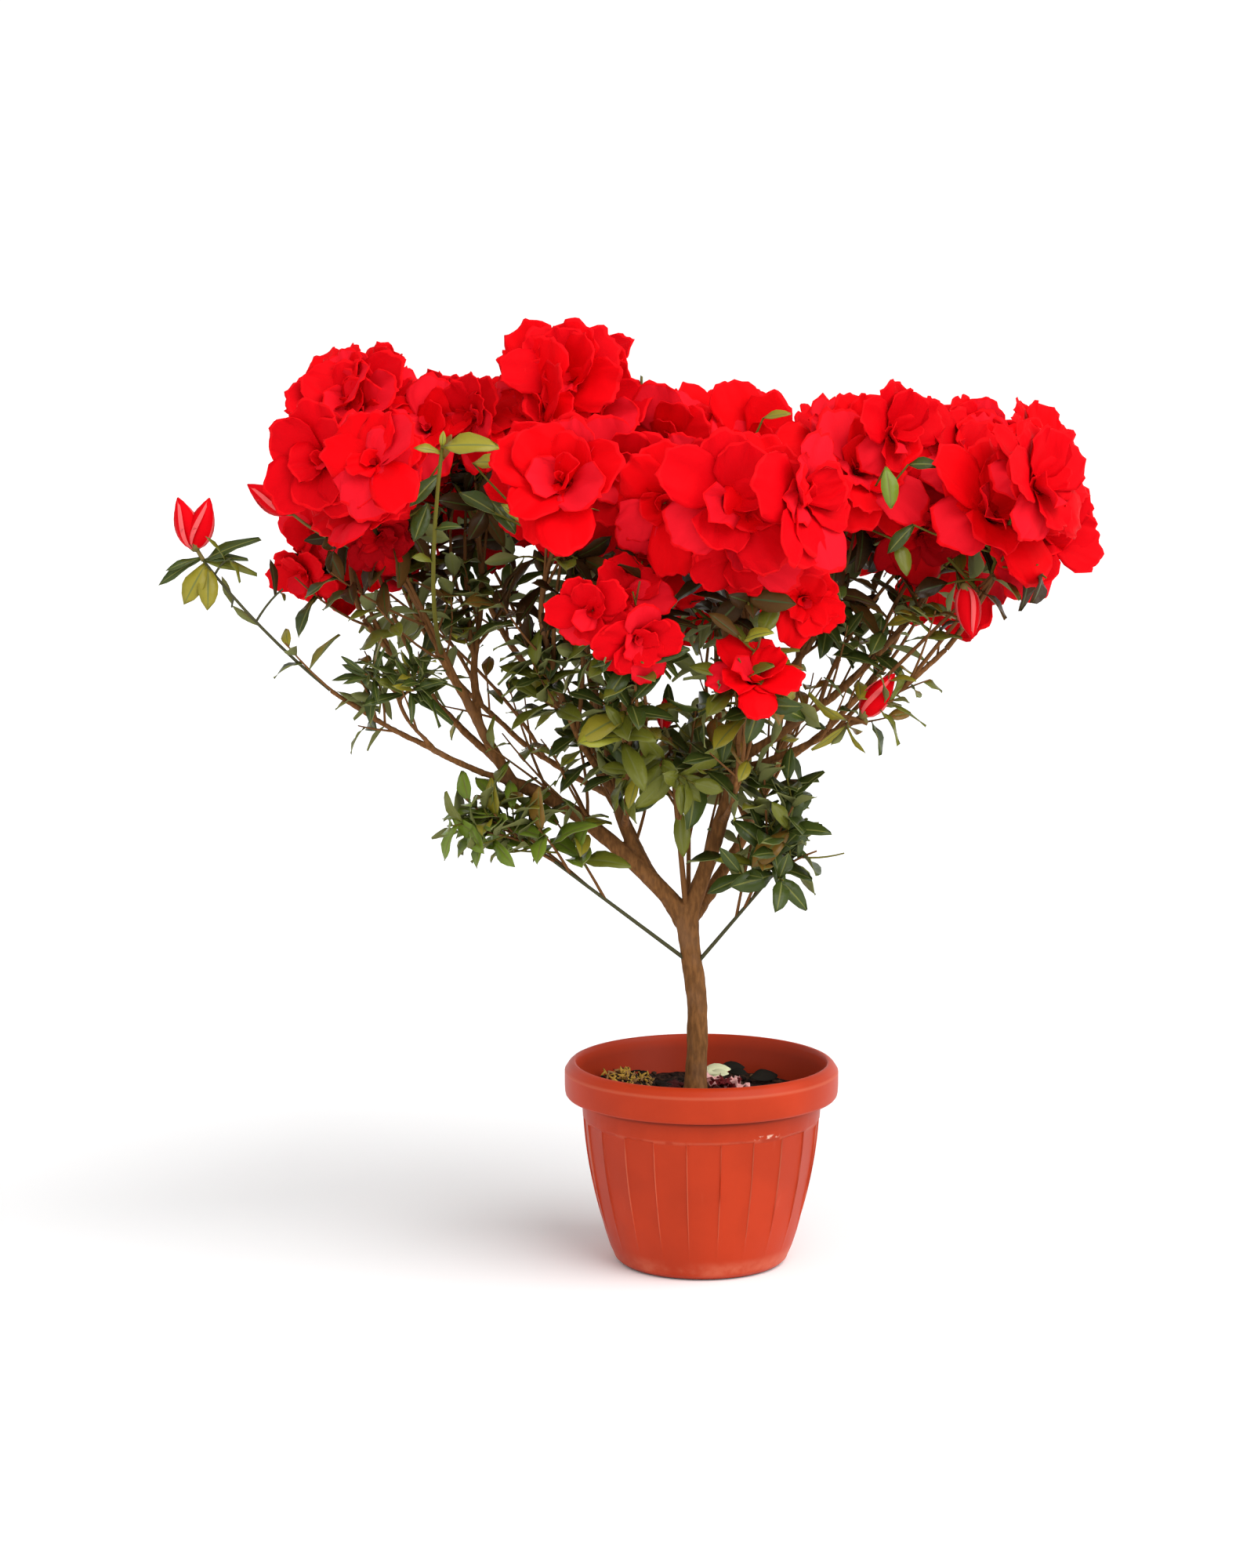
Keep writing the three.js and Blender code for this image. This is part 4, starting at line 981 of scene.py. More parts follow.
class AZALEA_OT_soil(bpy.types.Operator):
    """Make the soil, its crumbs and the litter on it"""

    bl_idname = "azalea.soil"
    bl_label = "Soil and litter"

    SURFACE_RADIUS, SURFACE_RINGS, SURFACE_STEPS = 0.0597, 26, 96
    CLODS, RED_CLODS, SHREDS, CRUMBS = 420, 26, 16, 190
    STREWN_TO, TRUNK_CLEAR = 57, 7.5

    def execute(self, context):
        sizes = context.scene.azalea
        top = sizes.soil_top
        shares = [(k / self.SURFACE_RINGS) ** 1.2 for k in range(self.SURFACE_RINGS + 1)]
        profile = [(0, 0.0033), (0.0385, 0.0033), (0.0428, 0.0068), (0.0572, 0.074)]
        profile += [(self.SURFACE_RADIUS * (1 - share), top) for share in shares]
        bm = spun(profile, self.SURFACE_STEPS)
        for vert in bm.verts:
            if vert.co.z > top - 0.001:
                vert.co.z += self.heap(vert.co.x, vert.co.y)
        piece = shaped("azalea_soil", bm, [soil_finish(tuple(sizes.soil_colour))])
        stand_for(piece, ["soil"])
        stand_for(self.crumbs(top))
        stand_for(self.litter(top))
        return {"FINISHED"}

    @staticmethod
    def heap(x, y):
        """Height of the soil's surface over its level: clods, piled up at the left and behind the right."""
        spot = Vector((x, y, 0))
        rough = 0.0013 * noise.noise(spot * 140) + 0.0008 * noise.noise(spot * 420)
        left = 0.0065 * math.exp(-(((x + 0.043) / 0.016) ** 2) - ((y - 0.02) / 0.022) ** 2)
        right = 0.002 * math.exp(-(((x - 0.012) / 0.014) ** 2) - ((y - 0.016) / 0.018) ** 2)
        return rough + left + right - 0.0022

    def level(self, top, x, y):
        """Height of the soil's surface, in millimetres."""
        return (top + self.heap(x * MM, y * MM)) / MM

    def crumbs(self, top):
        """Clods and fibres of peat strewn over the surface."""
        clod = clod_shape()
        strewn = Joined()
        draw = stream(77)
        for i in range(self.CLODS):
            far = self.STREWN_TO * math.sqrt(next(draw))
            turn = next(draw) * math.tau
            x, y = far * math.cos(turn), far * math.sin(turn)
            size = 0.7 + 1.9 * next(draw) ** 3
            uneven = clod.points * lumps(draw, clod, 0.35)
            long = (1 + 1.4 * next(draw)) if i % 5 == 0 else 1
            spin = next(draw) * math.tau
            first = np.array((math.cos(spin), math.sin(spin), 0.25 * next(draw)))
            first, second = unit(first), unit(np.cross((0, 0, 1), first))
            spot = (x, y, self.level(top, x, y) + size * 0.25)
            if math.hypot(x - TRUNK["foot"][0], y) < self.TRUNK_CLEAR:
                continue
            points = turned(uneven * (long, 0.8, 0.6), first, second, np.cross(first, second), spot, size)
            brown = next(draw) < 0.3
            strewn.add(clod, points, PEAT_BROWN if brown else PEAT_FIBRE if next(draw) < 0.12 else PEAT_DARK)
        for _ in range(self.RED_CLODS):
            x, y = heaped(draw, -16, 9), heaped(draw, 16, 16)
            uneven = clod.points * lumps(draw, clod, 0.4)
            spot = (x, y, self.level(top, x, y) + 1)
            points = turned(uneven * (1.3, 1, 0.8), *np.eye(3), spot, 1.6 + 1.8 * next(draw))
            strewn.add(clod, points, PEAT_MAROON if next(draw) < 0.6 else PEAT_DARK)
        tones = [
            plain("peat_dark", (0.014, 0.008, 0.006), 0.9),
            plain("peat_brown", (0.045, 0.022, 0.013), 0.9),
            plain("peat_fibre", (0.16, 0.085, 0.035), 0.9),
            plain("peat_maroon", (0.06, 0.008, 0.008), 0.8),
        ]
        return strewn.piece("azalea_soil_crumbs", tones)

    def litter(self, top):
        """A heap of yellowed moss, a pale fallen leaf with near-black ones behind it that are partly painted
        shade, and a faded bloom.
        """
        strewn = Joined()
        draw = stream(91)
        leaf = leaf_shape(0.25, 0.1, 0.2, 0.24)
        for x, y, lift, way, length, tone in FALLEN_LEAVES:
            spot = (x, y, self.level(top, x, y) + lift)
            strewn.add(leaf, laid(leaf, spot, unit(way), (0.1, -0.6, 0.8), length), tone)
        shred = shred_shape()
        for i in range(self.SHREDS):
            x, y = 3 + 20 * next(draw), 2 + 11 * next(draw)
            along = unit((next(draw) - 0.5, 0.5 * (next(draw) - 0.5), 0.6 * next(draw)))
            first, second = square_to(along)
            spot = (x, y, self.level(top, x, y) + 2.5 + 2 * next(draw))
            points = turned(shred.points, first, along, second, spot, 5 + 6 * next(draw))
            strewn.add(shred, points, PETAL if i % 3 else MAROON)
        crumb = clod_shape()
        for _ in range(self.CRUMBS):
            x, y = heaped(draw, -37, 16), heaped(draw, 18, 26)
            if math.hypot(x, y) > self.STREWN_TO:
                continue
            size = 0.5 + 0.9 * next(draw)
            uneven = crumb.points * lumps(draw, crumb, 0.6)
            long = np.array((1 + 3.0 * next(draw), 0.6, 0.6))
            first = unit((next(draw) - 0.5, next(draw) - 0.5, 0.7 * (next(draw) - 0.3)))
            spot = (x, y, self.level(top, x, y) + 0.4 + 1.6 * next(draw))
            points = turned(uneven * long, first, *square_to(first), spot, size)
            strewn.add(crumb, points, MOSS[pick(draw, len(MOSS))])
        tones = [
            plain("litter_pale_leaf", (0.68, 0.7, 0.44), 0.6),
            plain("litter_yellow", (0.46, 0.27, 0.045), 0.8),
            plain("litter_petal", (0.8, 0.42, 0.4), 0.7),
            # Near-black fallen leaves: partly dark leaves, partly painted shade behind the pale one
            plain("litter_dark_leaf", (0.014, 0.012, 0.009), 0.7, 0.05),
            plain("litter_tan", (0.3, 0.16, 0.06), 0.85),
            plain("litter_maroon", (0.13, 0.01, 0.012), 0.8),
        ]
        return strewn.piece("azalea_litter", tones)


def shred_shape():
    """A curled scrap of petal."""
    bm = bmesh.new()
    bmesh.ops.create_grid(bm, x_segments=4, y_segments=4, size=0.5)
    for vert in bm.verts:
        x, y = vert.co.x, vert.co.y
        vert.co = (x * (0.8 + 0.4 * y), y, 0.9 * x * x + 0.25 * math.sin(7 * y + 4 * x))
    bmesh.ops.solidify(bm, geom=bm.faces[:], thickness=0.04)
    bmesh.ops.recalc_face_normals(bm, faces=bm.faces)
    return Shape(bm)


class AZALEA_OT_wood(bpy.types.Operator):
    """Make trunk and boughs as one fused frame with bark relief"""

    bl_idname = "azalea.wood"
    bl_label = "Trunk and boughs"

    VOXEL = 0.00078
    SMOOTHING = 3
    SUNK = 0.005
    SIDES, STEP, LEAST_STEPS = 12, 5, 6
    THIN_FROM = 0.19

    def execute(self, context):
        sizes = context.scene.azalea
        rough = Joined()
        for name, (line, radius) in LIMBS.items():
            shape = tube_shape(self.SIDES, max(self.LEAST_STEPS, int(line.length / self.STEP)))
            rough.add(shape, self.crooked(bend(shape, line, self.collared(name, line, radius)), line))
        blank = rough.piece("azalea_wood_blank", [])
        remesh = blank.modifiers.new("fuse", "REMESH")
        remesh.mode, remesh.voxel_size = "VOXEL", self.VOXEL
        evaluated = blank.evaluated_get(context.evaluated_depsgraph_get())
        fused = bpy.data.meshes.new_from_object(evaluated)
        bpy.data.objects.remove(blank)
        bm = bmesh.new()
        bm.from_mesh(fused)
        bpy.data.meshes.remove(fused)
        axes = {"use_axis_x": True, "use_axis_y": True, "use_axis_z": True}
        for _ in range(self.SMOOTHING):
            bmesh.ops.smooth_vert(bm, verts=bm.verts, factor=0.5, **axes)
        self.relief(bm, sizes.bark_relief)
        whole = bm.verts[:] + bm.edges[:] + bm.faces[:]
        low = (0, 0, sizes.soil_top - self.SUNK)
        cut = bmesh.ops.bisect_plane(bm, geom=whole, plane_co=low, plane_no=(0, 0, -1), clear_outer=True)
        rim = [edge for edge in cut["geom_cut"] if isinstance(edge, bmesh.types.BMEdge)]
        bmesh.ops.holes_fill(bm, edges=rim)
        piece = shaped("azalea_wood", bm, [bark_finish(tuple(sizes.bark_colour))])
        stand_for(piece, list(LIMBS))
        return {"FINISHED"}

    @staticmethod
    def collared(name, line, radius):
        """A bough's radius, thicker just where it leaves its limb."""
        if name == "trunk":
            return lambda share: radius(share) + 1.0 * np.exp(-(((share - 1) / 0.09) ** 2))
        return lambda share: radius(share) * (1 + 0.3 * np.exp(-share * line.length / 9))

    @staticmethod
    def crooked(points, line):
        """Small natural kinks that fade out at a limb's two ends."""
        start, end = line.points[0], line.points[-1]
        shares = np.clip((points - start) @ (end - start) / ((end - start) @ (end - start)), 0, 1)
        moved = points.copy()
        for i, share in enumerate(shares):
            spot = line.at(share) * 0.035
            kink = noise.noise_vector(Vector(spot)) * 1.5 + noise.noise_vector(Vector(spot * 2.7)) * 0.5
            moved[i] += np.array(kink) * math.sin(math.pi * share)
        return moved

    def relief(self, bm, depth):
        """Fissures along the limbs, lumps and knots, shallower on the thin boughs."""
        bm.normal_update()
        for vert in bm.verts:
            spot = vert.co
            fissures = noise.noise(Vector((spot.x * 520, spot.y * 520, spot.z * 130)))
            swells = noise.noise(spot * 170)
            knots = max(0.0, noise.noise(spot * 60 + Vector((7, 3, 1))) - 0.25)
            thick = 1.0 if spot.z < self.THIN_FROM else 0.6
            vert.co = spot + vert.normal * depth * thick * (fissures + 0.9 * swells + 1.8 * knots)


# A leaf's faces, where the columns of its grid go so that the midrib is narrow, its thickness and tip
BLADE, RIB, BACK = range(3)
LEAF_COLUMNS = {-1.0: -1.0, -0.33: -0.09, 0.33: 0.09, 1.0: 1.0}
LEAF_THICK, LEAF_TIP = 0.012, 0.018


def leaf_shape(fold, droop, wave, wide):
    """A leaf of unit length: folded along a paler midrib, drooping to its tip and slightly waved."""
    bm = bmesh.new()
    bmesh.ops.create_grid(bm, x_segments=3, y_segments=6, size=1)
    for face in bm.faces:
        face.material_index = RIB if abs(face.calc_center_median().x) < 0.2 else BLADE
    for vert in bm.verts:
        across = LEAF_COLUMNS[min(LEAF_COLUMNS, key=lambda column: abs(column - vert.co.x))]
        along = (vert.co.y + 1) / 2
        width = wide * max(0.09, math.sin(math.pi * min(1, along**1.15 * 0.93 + 0.04)) ** 0.85)
        if along > 0.99:
            width = LEAF_TIP
        lift = fold * abs(across) * width - droop * along**2
        lift += wave * 0.08 * math.sin(9 * along + 2 * across) * abs(across)
        vert.co = (across * width, along, lift)
    top = set(bm.faces)
    bmesh.ops.solidify(bm, geom=bm.faces[:], thickness=LEAF_THICK)
    for face in bm.faces:
        if face not in top and face.material_index == BLADE:
            face.material_index = BACK
    bmesh.ops.recalc_face_normals(bm, faces=bm.faces)
    for face in bm.faces:
        if face.normal.z < 0 and face.material_index != RIB:
            face.material_index = BACK
        elif face.normal.z > 0.3 and face.material_index == BACK:
            face.material_index = BLADE
    return Shape(bm)


# Leaf habits: fold along the midrib, droop of the tip, wave of the edge, half width
BROAD_LEAVES = (
    (0.35, 0.12, 0.4, 0.22), (0.2, 0.22, 0.6, 0.24), (0.5, 0.05, 0.3, 0.18), (0.3, 0.3, 0.5, 0.2),
)
SLIM_LEAVES = (
    (0.4, 0.1, 0.3, 0.09), (0.3, 0.25, 0.5, 0.11), (0.5, 0.15, 0.3, 0.1), (0.3, 0.3, 0.6, 0.12),
)
SLIM_SPRAYS = ("left_leaf_spray", "left_tip_spray", "right_leaf_spray")
SPRAY_TONES = {"low_left_spray": FRESH, "low_right_spray": DEEP, "left_leaf_spray": DEEP}
SHOW_THROUGH = 0.08
# The room before a bloom's face that leaves keep out of, in bloom radii
ROOM_BEHIND, ROOM_BEFORE, ROOM_WIDE = 0.35, 0.9, 0.85
ANYWHERE = 1000
# The side that single leaves in front turn their face to
TO_FRONT, TO_YOUNG = (0.1, -0.8, 0.6), (0.1, -0.75, 0.65)
# The twigs' tones, and the masses on thin grey stems
BROWN, GREEN, GREY = range(3)
SLENDER = {"left_tip_spray": 0.62, "low_left_spray": 0.7, "low_right_spray": 0.7}


class Foliage:
    """Twigs and leaves of one side of the plant, gathered while they grow."""

    def __init__(self, leaf_length):
        self.leaf_length = leaf_length
        self.twigs, self.leaves = Joined(), Joined()
        self.lowest, self.rightmost = 0, ANYWHERE
        self.broad = [leaf_shape(*habit) for habit in BROAD_LEAVES]
        self.slim = [leaf_shape(*habit) for habit in SLIM_LEAVES]
        self.twig_shapes = {sides: tube_shape(sides, steps) for sides, steps in ((5, 5), (6, 8))}
        blooms = [bloom for mass in MASSES for bloom in mass.places + mass.extra]
        self.places = np.array([bloom["place"] for bloom in blooms])
        self.faces = np.array([bloom["look"] for bloom in blooms])
        self.radii = np.array([bloom["radius"] for bloom in blooms])

    def twig(self, line, thick, thin, tone, sides=5):
        """A bare tapering twig along a line."""
        shape = self.twig_shapes[sides]
        self.twigs.add(shape, bend(shape, line, taper(thick, thin)), tone)

    def before_bloom(self, spot):
        """Whether a spot lies on or just before the face of a bloom."""
        off = spot - self.places
        deep = (off * self.faces).sum(1)
        wide = np.linalg.norm(off - self.faces * deep[:, None], axis=1)
        near = (deep > -ROOM_BEHIND * self.radii) & (deep < ROOM_BEFORE * self.radii)
        return bool((near & (wide < ROOM_WIDE * self.radii)).any())

    def under_bloom(self, spot):
        """Whether a spot lies close under a bloom of the crown."""
        off = self.places[self.places[:, 2] > CROWN_LEVEL] - spot
        aside = np.hypot(off[:, 0], off[:, 1])
        return bool(((off[:, 2] > UNDER_FROM) & (off[:, 2] < UNDER_TO) & (aside < UNDER_ASIDE)).any())

    def leaf(self, root, way, upper, size, tone, draw, shapes=None):
        """A leaf on a shoot, unless it would grow before a bloom or out of the mass's bounds."""
        shapes = shapes or self.broad
        shape = shapes[pick(draw, len(shapes))]
        way = unit(way + np.array((0, 0, -0.18)) * next(draw))
        through = next(draw) < SHOW_THROUGH
        tip = root + way * size
        if not through and (self.before_bloom(tip) or self.before_bloom(root + way * size * 0.5)):
            return
        if tip[2] < self.lowest or tip[0] > self.rightmost:
            return
        tones = (tone,)
        # Painted shade: leaves close under the crown's blooms take darker tones and a dark midrib
        if tone in SHADE_UNDER_BLOOMS and tip[2] > UNDER_LEVEL and self.under_bloom(tip):
            tones = (SHADE_UNDER_BLOOMS[tone], DEEP, SHADE_UNDER_BLOOMS[tone])
        self.set_leaf(shape, root, way, upper + np.array((0, 0, 0.35)), size, *tones)

    def set_leaf(self, shape, root, way, upper, size, tone, rib=MIDRIB, back=UNDERSIDE):
        """One leaf in its place, in the tones of its blade, midrib and underside."""
        tones = np.array((tone, rib, back))
        self.leaves.add(shape, laid(shape, root, way, upper, size), tones[shape.finishes])

    def rosette(self, line, count, size, tone, draw, start=0.55, shapes=None):
        """Leaves spiralling up a shoot, crowded and smaller towards its tip."""
        offset = next(draw) * math.tau
        for i in range(count):
            share = start + (1 - start) * (i + 0.4) / count
            along = line.way(share)
            angle = 1.3 - 0.75 * i / count + 0.3 * (next(draw) - 0.5)
            way = leaning(along, angle, offset + i * GOLDEN_TURN + 0.4 * (next(draw) - 0.5))
            length = self.leaf_length * size * (1.08 - 0.4 * i / count) * (0.85 + 0.3 * next(draw))
            own = tone if next(draw) < 0.75 else pick(draw, SPRAY_FINISHES)
            self.leaf(line.at(share), way, along, length, own, draw, shapes)


# Boughs in the dense middle of the crown and how many leafy side shoots each has
LEAFY_BOUGHS = {
    "centre_upright_bough": 6, "centre_left_bough": 7, "left_inner_bough": 6, "left_upright_bough": 5,
    "right_mid_bough": 6, "right_outer_bough": 6, "right_upright_bough": 5, "low_front_bough": 5,
}
# More shoots on the lowest sprays: the mass, how far along its stem, tip
LOW_SHOOTS = [
    ("low_right_spray", 0.95, (50, -22, 250)), ("low_right_spray", 0.9, (30, -26, 258)),
    ("low_left_spray", 0.95, (-118, -32, 243)), ("low_left_spray", 0.8, (-104, -36, 236)),
]
# Lone shoots under the crown's edge: the bough, how far along it, tip, leaves, their size and tone
LOOSE_SHOOTS = [
    ("left_low_bough", 0.85, (-205, -48, 322), 4, 0.85, OLIVE),
    ("left_outer_bough", 0.95, (-203, -16, 352), 6, 1.0, DEEP),
    ("left_slant_bough", 0.9, (-184, -50, 358), 6, 1.1, DEEP),
    ("left_slant_bough", 0.7, (-160, -52, 340), 4, 1.0, MIDDLE),
    ("right_outer_bough", 0.6, (92, -44, 338), 5, 0.9, OLIVE),
    ("right_outer_bough", 0.45, (70, -42, 330), 5, 0.9, DEEP),
    ("right_mid_bough", 0.8, (64, -52, 352), 5, 1.0, DEEP),
    ("right_low_bough", 0.8, (112, -52, 338), 4, 0.8, MIDDLE),
    ("centre_left_bough", 0.8, (-100, -58, 344), 6, 1.1, DEEP),
    ("centre_left_bough", 0.5, (-84, -48, 312), 4, 0.9, MIDDLE),
    ("left_upright_bough", 0.6, (-92, -24, 352), 6, 1.0, DEEP),
    ("left_inner_bough", 0.7, (-66, -30, 292), 4, 0.8, DEEP),
]
# Leaves that show before the blooms, on short stalks: place, way, length, tone
FRONT_LEAVES = [
    ((86, -66, 408), (0.15, -0.3, -1), 20, FRESH), ((97, -62, 409), (1, -0.3, 0.12), 15, DEEP),
    ((28, -46, 431), (1, -0.4, 0.2), 14, OLIVE), ((-128, -66, 404), (-0.6, -0.5, -0.5), 20, DEEP),
    ((-118, -72, 396), (0.7, -0.5, -0.3), 22, DEEP), ((-112, -66, 410), (0.8, -0.4, 0.1), 18, OLIVE),
    ((-12, -18, 236), (0.1, -0.3, -1), 24, MIDDLE), ((-18, -16, 247), (-0.7, -0.4, -0.4), 20, DEEP),
    ((-134, -60, 390), (-0.3, -0.5, -0.8), 20, DEEP), ((-104, -62, 392), (0.6, -0.4, -0.6), 20, DEEP),
    ((-126, -64, 412), (0.2, -0.4, 0.6), 14, BRONZE), ((100, -62, 380), (-0.6, -0.4, -0.5), 18, DEEP),
    ((112, -60, 388), (0.6, -0.5, -0.5), 18, DEEP), ((92, -62, 372), (0.3, -0.5, -0.8), 17, MIDDLE),
]
# Single leaves of the young shoot: how far along it, way, length, tone
YOUNG_LEAVES = [
    (0.99, (1, -0.3, 0.16), 26, OLIVE), (0.97, (-0.75, -0.5, 0.35), 13, OLIVE),
    (0.99, (0.1, -0.6, 0.8), 9, YOUNG), (0.72, (0.8, -0.5, 0.3), 13, DEEP),
    (0.6, (-0.7, -0.6, 0.25), 12, MIDDLE),
]
# Single leaves of the far left tip: how far along its stem, way, length, slim or not, tone
TIP_LEAVES = [
    (0.99, (-0.95, -0.3, -0.45), 24, True, DEEP), (0.99, (-0.8, -0.5, -0.15), 18, True, DEEP),
    (0.98, (0.9, -0.3, 0.15), 22, True, DEEP), (0.97, (0.85, -0.4, 0.5), 30, True, DEEP),
    (0.97, (1, -0.2, -0.1), 26, True, MIDDLE), (0.95, (-0.5, -0.5, -0.85), 22, False, OLIVE),
    (0.93, (0.05, -0.6, -1), 21, False, OLIVE),
]
# Up to which number each leaf tone is dealt, and bronze above the last
SPRAY_DEALS = ((0.34, DEEP), (0.6, MIDDLE), (0.82, OLIVE), (0.88, YOUNG))


def spray_tone(draw):
    """Deals a spray its leaf tone: mostly deep and middle green, some olive, few young or bronze."""
    dealt = next(draw)
    return next((tone for limit, tone in SPRAY_DEALS if dealt < limit), BRONZE)


class AZALEA_OT_foliage(bpy.types.Operator):
    """Make the twigs and leaves of each side of the crown"""

    bl_idname = "azalea.foliage"
    bl_label = "Twigs and leaves"

    LEAFY_FROM, THICK_FROM = 340, 3.3

    def execute(self, context):
        sizes = context.scene.azalea
        wood = [
            plain("twig_brown", toned(sizes.bark_colour, 0.9), 0.8, 0.1, 900.0, 0.6),
            plain("twig_green", (0.13, 0.115, 0.018), 0.7, 0.06, 700.0),
            plain("twig_grey", (0.075, 0.072, 0.035), 0.7, 0.06, 700.0),
        ]
        for side in SIDES:
            foliage = Foliage(sizes.leaf_length / MM)
            members = [mass for mass in MASSES if mass.side == side]
            for mass in members:
                self.grow(mass, foliage)
            for name in LIMBS:
                if name != "trunk" and side_of(name) == side:
                    self.bough_shoots(name, foliage)
            if side == "left":
                self.young_shoot(foliage)
                self.tip_leaves(foliage)
            if side == "centre":
                self.front_leaves(foliage)
            draw = stream(63)
            for name, share, tip, count, size, tone in LOOSE_SHOOTS:
                if side_of(name) == side:
                    shoot = Line(LIMBS[name][0].at(share), tip, (0, 0, -3))
                    foliage.twig(shoot, 0.8, 0.4, BROWN)
                    foliage.rosette(shoot, count, size, tone, draw, 0.6)
            twigs = foliage.twigs.piece(f"azalea_twigs_{side}", wood)
            stand_for(twigs)
            leaves = foliage.leaves.piece(f"azalea_leaves_{side}", leaf_finishes(sizes))
            stand_for(leaves, [mass.name for mass in members if not mass.blooms])
        return {"FINISHED"}

    def grow(self, mass, foliage):
        """A mass's stem, the stalks of its blooms and all its leafy shoots."""
        fine = stream(mass.seed + SHOOT_SEED)
        slender = SLENDER.get(mass.name, 1)
        tone = BROWN if slender == 1 else GREY
        foliage.twig(mass.stem, mass.stem_radius(0.0) * slender, mass.stem_radius(1.0) * slender, tone, 6)
        foliage.lowest = mass.middle[2] - mass.spread[2] * 1.5
        foliage.rightmost = mass.middle[0] + mass.spread[0] if mass.name == "low_right_spray" else ANYWHERE
        for i, bloom in enumerate(mass.places + mass.extra):
            foot = bloom["place"] - bloom["look"] * BLOOM_DEPTH * bloom["radius"]
            start = mass.stem.at(0.97 - 0.09 * (i % 6))
            line = Line(start, foot, bloom["look"] * -0.12 * np.linalg.norm(foot - start))
            foliage.twig(line, 1.15, 0.75, GREEN)
            foliage.rosette(line, 4, 0.95, spray_tone(fine), fine, 0.35)
        for line in mass.place_sprays():
            self.spray(line, mass, foliage, fine)
        for name, share, tip in LOW_SHOOTS:
            if name == mass.name:
                self.spray(Line(mass.stem.at(share), tip, (0, 0, -2)), mass, foliage, fine)
        foliage.lowest, foliage.rightmost = 0, ANYWHERE
        if mass.blooms:
            self.long_shoots(mass, foliage, fine)
            self.skirt(mass, foliage, fine)

    def spray(self, line, mass, foliage, fine):
        """A leafy shoot with smaller side shoots, each ending in a rosette."""
        dealt = spray_tone(fine)
        tone = SPRAY_TONES.get(mass.name, dealt)
        lone = mass.name == "left_tip_spray"
        slim = foliage.slim if mass.name in SLIM_SPRAYS else None
        size = 0.75 if lone else 1.0 if slim else 1.1 if mass.blooms else 1.15
        foliage.twig(line, 0.7 if lone else 0.9, 0.5, GREY if lone else BROWN)
        foliage.rosette(line, 2 if lone else 6 if slim else 5, size, tone, fine, 0.7 if lone else 0.5, slim)
        for k in range(0 if lone or mass.name == "right_leaf_spray" else 2):
            share = 0.35 + 0.3 * k + 0.12 * next(fine)
            way = leaning(line.way(share), 0.6 + 0.5 * next(fine), next(fine) * math.tau)
            start = line.at(share)
            side = Line(start, start + way * (14 + 14 * next(fine)) * (0.5 if slim else 1), (0, 0, -1))
            foliage.twig(side, 0.6, 0.4, GREEN)
            foliage.rosette(side, 6 if slim else 4, size * 0.85, tone, fine, 0.4, slim)

    def long_shoots(self, mass, foliage, fine):
        """Thin upright shoots from lower on the bough into the mass, with a few leaves of their own."""
        bough = LIMBS[mass.limb][0]
        for k in range(2):
            start = bough.at(0.3 + 0.35 * k + 0.15 * next(fine))
            way = leaning(mass.out, 1.2 * next(fine), next(fine) * math.tau)
            end = mass.stem.at(0.9) + way * mass.spread * 0.4
            line = Line(start, end, drift(fine, 0.2 * np.linalg.norm(end - start)))
            foliage.twig(line, 1.2, 0.7, BROWN, 6)
            foliage.rosette(line, 3, 0.95, spray_tone(fine), fine, 0.75)

    @staticmethod
    def skirt(mass, foliage, fine):
        """Short leafy shoots round the stem, just under the mass's blooms."""
        for k in range(3):
            start = mass.stem.at(0.55 + 0.4 * next(fine))
            turn = k * GOLDEN_TURN + next(fine)
            way = unit((math.cos(turn), math.sin(turn), 0.5 * next(fine) - 0.3))
            line = Line(start, start + way * (14 + 18 * next(fine)), (0, 0, 2))
            foliage.twig(line, 0.7, 0.45, GREEN)
            foliage.rosette(line, 4, 1.1, DEEP if k else spray_tone(fine), fine, 0.35)

    @staticmethod
    def young_shoot(foliage):
        """A soft green shoot that stands up before the blooms, with one young leaf spread at its top."""
        line = Line(LIMBS["left_slant_bough"][0].at(0.75), (-124, -108, 420), (-3, -22, -10))
        foliage.twig(line, 1.3, 1.0, GREEN, 6)
        draw = stream(61)
        for share, way, length, tone in YOUNG_LEAVES:
            shape = foliage.broad[pick(draw, len(foliage.broad))]
            foliage.set_leaf(shape, line.at(share), unit(way), TO_YOUNG, length, tone)

    @staticmethod
    def front_leaves(foliage):
        """Single leaves that push out between the blooms."""
        starts = [mass.stem.at(0.9) for mass in MASSES]
        for i, (place, way, length, tone) in enumerate(FRONT_LEAVES):
            root = np.array(place, float)
            start = min(starts, key=lambda spot: np.linalg.norm(spot - root))
            foliage.twig(Line(start, root, (root - start) * (0, 0.1, -0.1)), 0.7, 0.5, GREEN)
            shape = foliage.broad[i % len(foliage.broad)]
            foliage.set_leaf(shape, root, unit(way), TO_FRONT, length, tone)

    @staticmethod
    def tip_leaves(foliage):
        """Slim leaves under the far left buds, and two round ones that hang from the twig."""
        tip = next(mass for mass in MASSES if mass.name == "left_tip_spray").stem
        for share, way, length, slim, tone in TIP_LEAVES:
            shape = (foliage.slim if slim else foliage.broad)[1]
            foliage.set_leaf(shape, tip.at(share), unit(way), TO_FRONT, length, tone)

